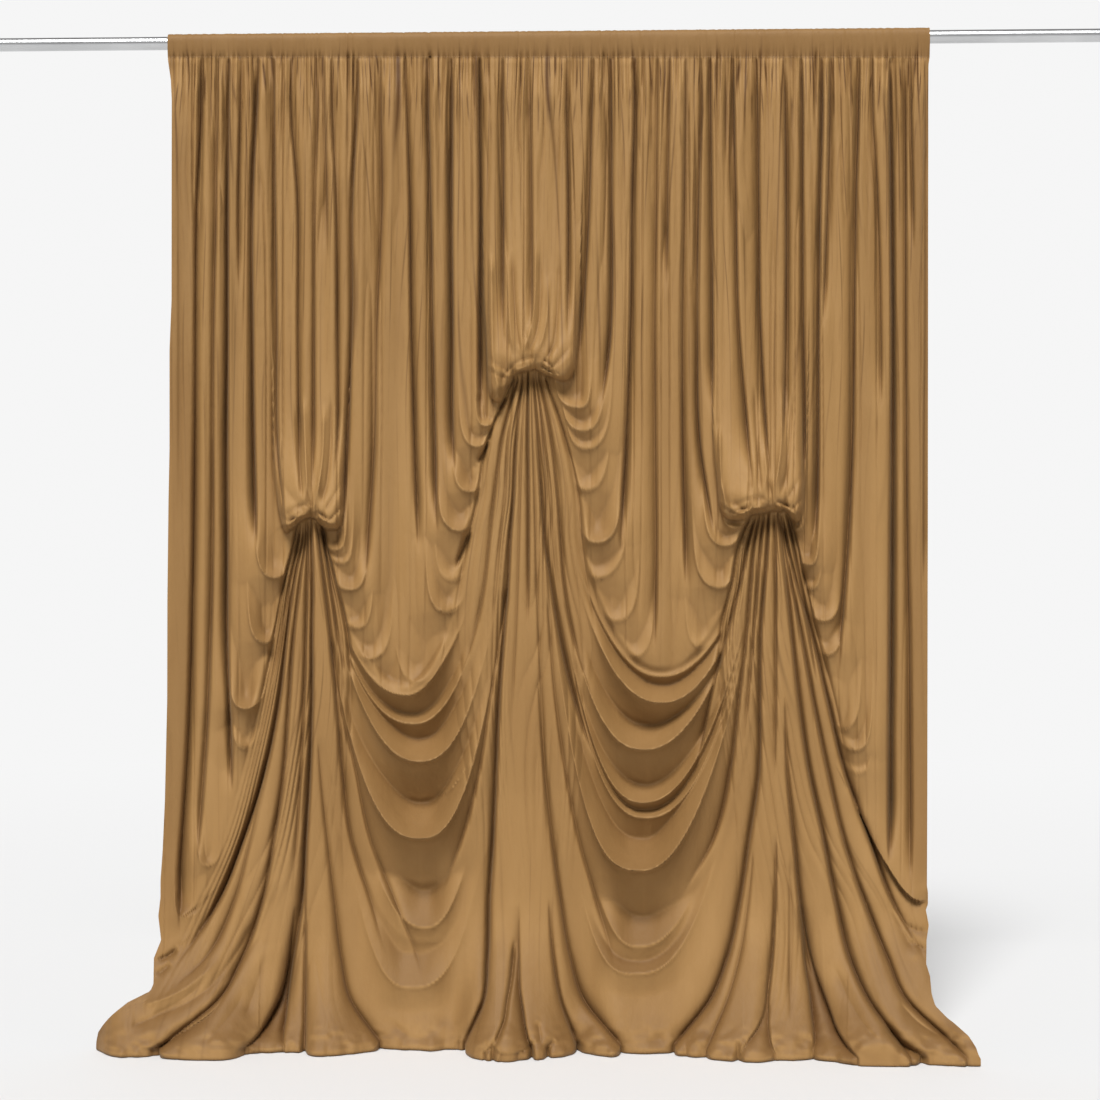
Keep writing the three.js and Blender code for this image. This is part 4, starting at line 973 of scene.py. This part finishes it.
def panel_points():
    """Columns by rows by 3, in millimetres: from the stitch line to the hem tucked under on the floor."""
    share = np.linspace(0, 1, COLUMNS + 1)
    fine = rows_by_need(share)
    x = column_x(share[:, None] + 0 * fine, fine)
    out = depth(x, fine)
    # the last row is brought onto the level where the foot's roll starts
    for _ in range(3):
        _, _, z = place(x[:, -1], fine[:, -1], out[:, -1])
        fine[:, -1] += (z - FLOOR_Z - FOOT_ROLL) / STEP
        x[:, -1] = column_x(share, fine[:, -1])
        out[:, -1] = depth(x[:, -1], fine[:, -1])
    points = np.stack(place(x, fine, out), axis=-1)
    weave = pleat_places(x, fine)
    weave = np.concatenate([weave, np.repeat(weave[:, -1:], FOOT_ROWS, axis=1)], axis=1)
    return np.concatenate([points, foot_points(points)], axis=1), weave


def foot_points(points):
    """The roll of the cloth where it meets the floor, and the stretch tucked in under it."""
    start = points[:, -1]
    run = points[:, -1] - points[:, -4]
    run[:, 0] = 0
    run /= np.linalg.norm(run, axis=1)[:, None]
    second = start + ROLL_RUN * run
    third = start.copy()
    third[:, 1] -= ROLL_OUT
    third[:, 2] = FLOOR_Z
    last = third.copy()
    last[:, 1] += ROLL_BACK
    rows = [(1 - t) ** 3 * start + 3 * t * (1 - t) ** 2 * second + 3 * t * t * (1 - t) * third + t**3 * last
            for t in ROLL_SHARES]
    tuck = TUCK + TUCK_VARIES * noise(start[:, 0] / 90, start[:, 0] * 0, 61)
    for t in TUCK_SHARES:
        row = last.copy()
        row[:, 1] += tuck * t
        rows.append(row)
    return np.stack(rows, axis=1)


# How many columns and rows away the painted crease shade looks for what a place lies behind.
CREASE_NEAR = 1.5 * STRIP_COLUMNS / 190
CREASE_FAR = 7.0 * STRIP_COLUMNS / 190


def painted_shade(points):
    """Painted shade in creases: from 1 where the cloth lies open to 0 in a crease, by how far it lies behind
    its surroundings.
    """
    out = -points[:, :, 1]
    fine = blur_rows(blur_rows(out, CREASE_NEAR).T, CREASE_NEAR).T
    broad = blur_rows(blur_rows(out, CREASE_FAR).T, 0.5 * CREASE_FAR).T
    soft = 8 + 5 * smooth(-1900, -2700, points[:, :, 2])
    near = np.exp(-np.clip(fine - out, 0, 60) / soft)
    return 0.75 * near + 0.25 * np.exp(-np.clip(broad - out, 0, 90) / 24)


def painted_cloth_shade(points, normals):
    """From 0 to 1: painted shade and highlight in the knit's colour, from how open the cloth lies and which
    way it faces.

    It is painted darker, as shade, where it turns up to the light near the floor, where it turns aside, and
    lower down, and a little lighter, as a highlight, where it slopes up."""
    z, up, front = points[:, :, 2], normals[:, :, 2], -normals[:, :, 1]
    # painted shade near the floor, on faces turned aside and lower down, and a painted highlight on upward
    # slopes
    lying = 1 - 0.4 * smooth(-2150, -2750, z) * smooth(0.1, 0.6, up)
    aside = 1 - (1 - smooth(0.6, 0.97, front)) * (0.08 + 0.27 * smooth(-950, -1500, z))
    sloped = 0.88 + 0.12 * smooth(0.05, 0.32, up)
    lower = 1 - 0.09 * smooth(-1350, -2100, z)
    return painted_shade(points) * lying * aside * sloped * lower


def grid_normals(points):
    """Normals of a grid of points, facing its front."""
    across = np.gradient(points, axis=0)
    down = np.gradient(points, axis=1)
    normal = np.cross(down, across)
    return normal / np.maximum(np.linalg.norm(normal, axis=2), 1e-9)[:, :, None]


def linked(name, data):
    """A new object that stands in the scene."""
    obj = bpy.data.objects.new(name, data)
    bpy.context.scene.collection.objects.link(obj)
    return obj


def grid_object(name, points, normals, shade, weave):
    """A mesh of quads over a grid of points in millimetres, facing the way the normals do."""
    wide, tall = points.shape[:2]
    index = np.arange(wide * tall).reshape(wide, tall)
    quads = np.stack([index[:-1, :-1], index[:-1, 1:], index[1:, 1:], index[1:, :-1]], axis=-1).reshape(-1, 4)
    mesh = bpy.data.meshes.new(name)
    mesh.vertices.add(wide * tall)
    mesh.vertices.foreach_set("co", (points * MM).reshape(-1))
    mesh.loops.add(len(quads) * 4)
    mesh.loops.foreach_set("vertex_index", quads.reshape(-1))
    mesh.polygons.add(len(quads))
    mesh.polygons.foreach_set("loop_start", np.arange(len(quads)) * 4)
    mesh.polygons.foreach_set("use_smooth", np.ones(len(quads), bool))
    mesh.update(calc_edges=True)
    mesh.normals_split_custom_set_from_vertices(normals.reshape(-1, 3))
    # the first attribute carries the painted shade and highlight that the material mixes into the knit's
    # colour
    for label, kind, field, values in (("painted_shade", "FLOAT", "value", shade),
                                       ("pleat_place", "FLOAT_VECTOR", "vector", weave[:, :, :DISTANCE]),
                                       ("fold_distance", "FLOAT", "value", weave[:, :, DISTANCE]),
                                       ("fold_dark", "FLOAT", "value", weave[:, :, DARK])):
        mesh.attributes.new(label, kind, "POINT").data.foreach_set(field, values.reshape(-1))
    return linked(name, mesh)


# The pocket's cross-section over the pole, from the front stitch to the back one.
POCKET_OUT = (19, 21.5, 24, 25, 24.5, 19.5, 10, 0, -10, -19.5, -24.5, -24, -16, -2, 13)
POCKET_Z = (-50, -38, -24, -8, 8, 19.5, 25.5, 27, 25.5, 19.5, 8, -6, -24, -38, -50)
POCKET_ROWS = 26


def pocket_points(front):
    """Columns by rows by 3, from the panel's first row, front, up over the pole and down to the back."""
    places = np.linspace(0, 1, len(POCKET_OUT))
    at = np.linspace(0, 1, POCKET_ROWS)
    out = smooth_through(places, POCKET_OUT, at)
    z = smooth_through(places, POCKET_Z, at)
    ahead = np.gradient(out)
    rise = np.gradient(z)
    length = np.sqrt(ahead**2 + rise**2)
    normal_out, normal_z = rise / length, -ahead / length
    share = np.linspace(0, 1, COLUMNS + 1)
    x = column_x(share, STITCH_DROP + 0 * share)
    ruffle = gathers(x, STITCH_DROP + 0 * x)
    top = gathers(x + 1.7, STITCH_DROP + 12 + 0 * x)
    points = np.empty((COLUMNS + 1, POCKET_ROWS, 3))
    for r, t in enumerate(at):
        low = abs(2 * t - 1)
        bulge = 0.35 * low**5 * ruffle + 0.12 * (1 - low**5) * top
        points[:, r, 0] = front[:, 0]
        points[:, r, 1] = -(out[r] + bulge * normal_out[r])
        points[:, r, 2] = z[r] + bulge * normal_z[r]
    shift = front - points[:, 0]
    for r, t in enumerate(at):
        points[:, r] += shift * max(0, 1 - 5 * t) ** 2
    return points


# A row of stitches: each one's pitch, length, thickness and distance off the cloth, in millimetres,
# and its cross-sections as shares of its length and thickness.
Stitch = namedtuple("Stitch", "pitch length thick off sides sections")
STITCH = Stitch(4.6, 3.1, 0.55, 0.3, 5, ((-0.5, 0.35), (-0.28, 1), (0.28, 1), (0.5, 0.35)))


def stitch_object(points):
    """Short raised stitches along a row of points."""
    across = np.concatenate([[0], np.cumsum(np.linalg.norm(np.diff(points, axis=0), axis=1))])
    sides = STITCH.sides
    verts, faces = [], []
    for k in range(int(across[-1] / STITCH.pitch)):
        base = len(verts)
        for along, fat in STITCH.sections:
            at = (k + 0.5) * STITCH.pitch + along * STITCH.length
            x, y, z = (np.interp(at, across, points[:, i]) for i in range(3))
            thick = STITCH.thick * fat
            lift = STITCH.off + 0.5 * thick
            for j in range(sides):
                a = 2 * math.pi * j / sides
                verts.append((x, y - lift + thick * math.sin(a), z + thick * math.cos(a)))
        for ring in range(base, base + 3 * sides, sides):
            for j in range(sides):
                a, b = ring + j, ring + (j + 1) % sides
                faces.append((a, b, b + sides, a + sides))
        faces.append(tuple(base + j for j in reversed(range(sides))))
        faces.append(tuple(base + 3 * sides + j for j in range(sides)))
    mesh = bpy.data.meshes.new("stitching")
    mesh.from_pydata([tuple(c * MM for c in v) for v in verts], [], faces)
    for polygon in mesh.polygons:
        polygon.use_smooth = True
    return linked("stitching", mesh)


# Materials
def nodes_of(material):
    """A material's tree, its nodes and links, and its main shader."""
    material.use_nodes = True
    tree = material.node_tree
    return tree, tree.nodes, tree.links, tree.nodes["Principled BSDF"]


def coordinates(tree, kind="Object"):
    """Places in the piece's own space, or directions for the world."""
    return tree.nodes.new("ShaderNodeTexCoord").outputs[kind]


def attribute(tree, name, output="Fac"):
    """What grid_object wrote for each point under this name."""
    node = tree.nodes.new("ShaderNodeAttribute")
    node.attribute_name = name
    return node.outputs[output]


def split_node(tree, vector):
    """The three parts of a vector."""
    node = tree.nodes.new("ShaderNodeSeparateXYZ")
    tree.links.new(vector, node.inputs[0])
    return node.outputs


def flat_vector(tree, x, y):
    """A vector of two outputs."""
    node = tree.nodes.new("ShaderNodeCombineXYZ")
    tree.links.new(x, node.inputs["X"])
    tree.links.new(y, node.inputs["Y"])
    return node.outputs[0]


def range_node(tree, value, low, high, start=0.0, end=1.0, kind="LINEAR"):
    """Takes value from low at start to high at end."""
    node = tree.nodes.new("ShaderNodeMapRange")
    node.interpolation_type = kind
    for name, number in (("From Min", start), ("From Max", end), ("To Min", low), ("To Max", high)):
        node.inputs[name].default_value = number
    tree.links.new(value, node.inputs["Value"])
    return node.outputs[0]


def math_node(tree, kind, a, b=None, clamp=False):
    """One or two values, numbers or outputs of other nodes, put through an operation."""
    node = tree.nodes.new("ShaderNodeMath")
    node.operation = kind
    node.use_clamp = clamp
    for slot, value in enumerate((a, b)):
        if value is None:
            continue
        if isinstance(value, (int, float)):
            node.inputs[slot].default_value = value
        else:
            tree.links.new(value, node.inputs[slot])
    return node.outputs[0]


def weighted_sum(tree, a, share_a, b, share_b):
    """share_a of a and share_b of b."""
    a, b = math_node(tree, "MULTIPLY", a, share_a), math_node(tree, "MULTIPLY", b, share_b)
    return math_node(tree, "ADD", a, b)


def noise_node(tree, vector, scale, detail=2.0, stretch=(1, 1, 1)):
    """Noise over places that are first stretched along their axes."""
    mapping = tree.nodes.new("ShaderNodeMapping")
    mapping.inputs["Scale"].default_value = stretch
    tree.links.new(vector, mapping.inputs["Vector"])
    node = tree.nodes.new("ShaderNodeTexNoise")
    node.inputs["Scale"].default_value = scale
    node.inputs["Detail"].default_value = detail
    tree.links.new(mapping.outputs[0], node.inputs["Vector"])
    return node.outputs["Fac"]


def ramp_node(tree, value, stops):
    """Colours that blend from stop to stop as value rises."""
    node = tree.nodes.new("ShaderNodeValToRGB")
    ramp = node.color_ramp
    while len(ramp.elements) < len(stops):
        ramp.elements.new(0.5)
    for element, (at, colour) in zip(ramp.elements, stops):
        element.position = at
        element.color = (*colour, 1)
    tree.links.new(value, node.inputs["Fac"])
    return node.outputs["Color"]


def bump_node(tree, height, strength, distance, under=None):
    """A bump so many metres high, over another one if under is given."""
    node = tree.nodes.new("ShaderNodeBump")
    node.inputs["Strength"].default_value = strength
    node.inputs["Distance"].default_value = distance
    tree.links.new(height, node.inputs["Height"])
    if under is not None:
        tree.links.new(under, node.inputs["Normal"])
    return node.outputs["Normal"]


# The knit's colour from its darker patches to its lighter ones, and the painted shade colour in the bottom of
# a crease.
KNIT_TONES = ((0.225, (0.308, 0.168, 0.057)), (0.445, (0.347, 0.195, 0.068)), (0.645, (0.386, 0.222, 0.082)))
CREASE_SHADE_COLOUR = (0.1, 0.044, 0.012)
THREAD_TONES = ((0.3, (0.42, 0.27, 0.13)), (0.7, (0.56, 0.39, 0.21)))
METAL_TONES = ((0.3, (0.55, 0.555, 0.56)), (0.7, (0.68, 0.685, 0.69)))
WALE_PITCH = 0.0011
COURSE_PITCH = 0.0009

# The finest pleats, painted as thin lines of shade, in two sizes: pitch and width of their dark lines and how
# long they run in grid steps, how fast they get weaker with their strength, and where their random values
# start.
Pleat = namedtuple("Pleat", "pitch wide length power seed")
PLEATS = (Pleat(5.2, 1.1, 30, 1.6, 0.0), Pleat(12.0, 1.3, 110, 0.6, 40.0))


def pleat_line_shade(tree):
    """Painted shade of the finest pleats: thin dark lines, each with its own place, length and strength."""
    across, down, strength = split_node(tree, attribute(tree, "pleat_place", "Vector"))
    flat_place = flat_vector(tree, across, down)
    darkest = None
    for pleat in PLEATS:
        drift = noise_node(tree, flat_place, 0.19 / pleat.pitch, 1.0, (1, 0.12, 1))
        phase = math_node(tree, "ADD", math_node(tree, "DIVIDE", across, pleat.pitch),
                          math_node(tree, "MULTIPLY", drift, 5.0))
        number = math_node(tree, "ROUND", phase)
        away = math_node(tree, "ABSOLUTE", math_node(tree, "SUBTRACT", phase, number))
        away = math_node(tree, "MULTIPLY", away, pleat.pitch / pleat.wide)
        valley = math_node(tree, "SUBTRACT", 1.0, away, clamp=True)
        own_x = math_node(tree, "ADD", math_node(tree, "MULTIPLY", number, 3.7), pleat.seed)
        own_place = flat_vector(tree, own_x, math_node(tree, "DIVIDE", down, pleat.length))
        own = math_node(tree, "SUBTRACT", noise_node(tree, own_place, 1.0, 0.0), 0.4)
        own = math_node(tree, "MULTIPLY", own, 4.5, clamp=True)
        shown = math_node(tree, "POWER", strength, pleat.power)
        valley = math_node(tree, "MULTIPLY", math_node(tree, "MULTIPLY", valley, own), shown)
        darkest = valley if darkest is None else math_node(tree, "MAXIMUM", darkest, valley)
    return math_node(tree, "MULTIPLY", darkest, 1.25)


def groove_bottom_shade(tree):
    """Painted shade in the bottoms of the sharp grooves."""
    near = math_node(tree, "MULTIPLY", math_node(tree, "ABSOLUTE", attribute(tree, "fold_distance")), -0.75)
    near = math_node(tree, "MULTIPLY", math_node(tree, "EXPONENT", near), attribute(tree, "fold_dark"))
    return math_node(tree, "MULTIPLY", near, 1.45)


def knit_height(tree, where):
    """The knit: fine upright wales crossed by courses."""
    x, _, z = split_node(tree, where)
    wales = math_node(tree, "SINE", math_node(tree, "MULTIPLY", x, 2 * math.pi / WALE_PITCH))
    courses = math_node(tree, "SINE", math_node(tree, "MULTIPLY", z, 2 * math.pi / COURSE_PITCH))
    return weighted_sum(tree, wales, 0.6, courses, 0.4)


def spandex_material():
    material = bpy.data.materials.new("spandex_knit")
    tree, nodes, links, shader = nodes_of(material)
    where = coordinates(tree)
    broad = noise_node(tree, where, 2.3, 3.0, (1.6, 1, 0.5))
    streak = noise_node(tree, where, 26.0, 2.0, (1, 1, 0.06))
    tone = weighted_sum(tree, broad, 0.55, streak, 0.3)
    # painted shade and highlight: the groove bottoms, the finest pleat lines and the shade attribute from
    # grid_object mix the knit's colour towards the crease shade colour
    dark = math_node(tree, "MAXIMUM", pleat_line_shade(tree), groove_bottom_shade(tree))
    light = math_node(tree, "SUBTRACT", 1.0, dark, clamp=True)
    mix = nodes.new("ShaderNodeMix")
    mix.data_type = "RGBA"
    mix.inputs["A"].default_value = (*CREASE_SHADE_COLOUR, 1)
    links.new(math_node(tree, "MULTIPLY", attribute(tree, "painted_shade"), light), mix.inputs["Factor"])
    links.new(ramp_node(tree, tone, KNIT_TONES), mix.inputs["B"])
    links.new(mix.outputs["Result"], shader.inputs["Base Color"])
    soft = noise_node(tree, where, 16.0, 1.0, (1, 1, 0.35))
    small = noise_node(tree, where, 70.0, 1.0, (1, 1, 0.5))
    base = bump_node(tree, weighted_sum(tree, soft, 1.0, small, 0.25), 0.35, 0.012)
    links.new(bump_node(tree, knit_height(tree, where), 0.25, 0.0002, base), shader.inputs["Normal"])
    links.new(range_node(tree, broad, 0.5, 0.66), shader.inputs["Roughness"])
    shader.inputs["Specular IOR Level"].default_value = 0.2
    shader.inputs["Sheen Weight"].default_value = 0.12
    shader.inputs["Sheen Roughness"].default_value = 0.4
    shader.inputs["Sheen Tint"].default_value = (0.8, 0.55, 0.3, 1)
    return material


def thread_material():
    material = bpy.data.materials.new("sewing_thread")
    tree, _, links, shader = nodes_of(material)
    twist = noise_node(tree, coordinates(tree), 1500.0, 1.0, (1, 1, 3))
    links.new(ramp_node(tree, twist, THREAD_TONES), shader.inputs["Base Color"])
    links.new(bump_node(tree, twist, 0.4, 0.0002), shader.inputs["Normal"])
    shader.inputs["Roughness"].default_value = 0.55
    return material


def aluminium_material():
    material = bpy.data.materials.new("drawn_aluminium")
    tree, _, links, shader = nodes_of(material)
    where = coordinates(tree)
    drawn = noise_node(tree, where, 260.0, 3.0, (0.012, 1, 1))
    dull = noise_node(tree, where, 9.0, 3.0, (0.4, 1, 1))
    links.new(ramp_node(tree, dull, METAL_TONES), shader.inputs["Base Color"])
    links.new(bump_node(tree, drawn, 0.12, 0.0004), shader.inputs["Normal"])
    links.new(range_node(tree, drawn, 0.22, 0.38), shader.inputs["Roughness"])
    shader.inputs["Metallic"].default_value = 1.0
    return material


# The pieces
spandex = spandex_material()
panel, panel_weave = panel_points()
pocket = pocket_points(panel[:, 0])[:, ::-1]
whole = np.concatenate([pocket, panel[:, 1:]], axis=1)
normals = grid_normals(whole)
shade = painted_cloth_shade(whole, normals)
panel_normals = normals[:, POCKET_ROWS - 1:]
# on the panel, the shade painted in gaps and on turned panels darkens it further
panel_shade = shade[:, POCKET_ROWS - 1:] * (1 - panel_weave[:, :, DARKER])

strips = []
for k in range(STRIPS):
    span = slice(k * STRIP_COLUMNS, (k + 1) * STRIP_COLUMNS + 1)
    strips.append(grid_object(f"panel_{k + 1}", panel[span], panel_normals[span], panel_shade[span],
                              panel_weave[span]))
# the pocket's painted pleat lines run on from the panel's, and show near its two stitched sides
pocket_weave = np.repeat(panel_weave[:, :1], POCKET_ROWS, axis=1)
pocket_weave[:, :, DOWN] += np.linspace(-80, 0, POCKET_ROWS)
pocket_weave[:, :, STRENGTH] = np.abs(np.linspace(-1, 1, POCKET_ROWS)) ** 6
pocket_weave[:, :, DARK] = 0
# the pocket is painted darker all over, as shade, and the crease shade on it is softened
pocket_shade = 0.6 * shade[:, :POCKET_ROWS] ** 0.4
header = grid_object("rod_pocket", pocket, normals[:, :POCKET_ROWS], pocket_shade, pocket_weave)
for piece in [*strips, header]:
    piece.data.materials.append(spandex)
    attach(piece, "root")
    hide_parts("curtain")

stitching = stitch_object(panel[:, 0])
stitching.data.materials.append(thread_material())
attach(stitching, "root")

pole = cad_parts["pole"]
pole.data.materials.clear()
pole.data.materials.append(aluminium_material())


# Floor, light and camera
PALE = (0.92, 0.92, 0.92)
GREY = (0.22, 0.22, 0.22)
FLOOR_GREY = (0.68, 0.68, 0.68)
# In metres: how far the floor runs, between which distances it fades into the pale background, and the
# gap that keeps it clear of the cloth.
FLOOR_REACH = 30.0
FADE_START = 3.8
FADE_END = 9.0
FLOOR_GAP = 0.0004


def floor_object():
    """A round floor in rings of faces that get wider outwards."""
    rings, sides = 24, 72
    level = FLOOR_Z * MM - FLOOR_GAP
    verts, faces = [(0, 0, level)], []
    for i in range(rings):
        r = FLOOR_REACH * ((i + 1) / rings) ** 1.5
        for j in range(sides):
            a = 2 * math.pi * j / sides
            verts.append((r * math.cos(a), r * math.sin(a), level))
    for j in range(sides):
        faces.append((0, 1 + j, 1 + (j + 1) % sides))
    for i in range(rings - 1):
        for j in range(sides):
            a, b = 1 + i * sides + j, 1 + i * sides + (j + 1) % sides
            faces.append((a, a + sides, b + sides, b))
    mesh = bpy.data.meshes.new("floor")
    mesh.from_pydata(verts, [], faces)
    material = bpy.data.materials.new("pale_floor")
    tree, nodes, links, shader = nodes_of(material)
    shader.inputs["Base Color"].default_value = (*FLOOR_GREY, 1)
    shader.inputs["Roughness"].default_value = 0.85
    glow = nodes.new("ShaderNodeEmission")
    glow.inputs["Color"].default_value = (*PALE, 1)
    away = nodes.new("ShaderNodeVectorMath")
    away.operation = "LENGTH"
    links.new(coordinates(tree), away.inputs[0])
    mix = nodes.new("ShaderNodeMixShader")
    fade = range_node(tree, away.outputs["Value"], 0.0, 1.0, FADE_START, FADE_END, "SMOOTHSTEP")
    for slot, output in enumerate((fade, shader.outputs[0], glow.outputs[0])):
        links.new(output, mix.inputs[slot])
    links.new(mix.outputs[0], nodes["Material Output"].inputs["Surface"])
    mesh.materials.append(material)
    return linked("floor", mesh)


floor_object()


def studio_world():
    """Pale near the horizon all round, darker overhead, and a little darker where the lights stand."""
    world = bpy.data.worlds.new("studio")
    world.use_nodes = True
    tree = world.node_tree
    _, y, z = split_node(tree, coordinates(tree, "Generated"))
    background = tree.nodes["Background"]
    tree.links.new(ramp_node(tree, z, ((0.34, PALE), (0.6, GREY))), background.inputs["Color"])
    tree.links.new(range_node(tree, y, 0.34, 1.0, -0.8, 0.3, "SMOOTHSTEP"), background.inputs["Strength"])
    return world


bpy.context.scene.world = studio_world()


def sun(name, from_left, up, strength, soft):
    """A far soft light, so many degrees left of the front, up, and wide, in watts per square metre."""
    light = bpy.data.lights.new(name, "SUN")
    light.energy = strength
    light.angle = math.radians(soft)
    linked(name, light).rotation_euler = (math.radians(90 - up), 0, -math.radians(from_left))


sun("key", 6, 53, 4.1, 21)

SENSOR = 36.0
camera = bpy.data.cameras.new("camera")
camera.sensor_width = SENSOR
camera.lens = SENSOR * (REACH / STEP) / GRID_SIDE
eye = linked("camera", camera)
turn = math.asin(SKEW)
eye.location = (REACH * MM * math.sin(turn), -REACH * MM * math.cos(turn), LEVEL_Z * MM)
eye.rotation_euler = (math.pi / 2, 0, turn)
bpy.context.scene.camera = eye
bpy.context.scene.view_settings.view_transform = "Standard"
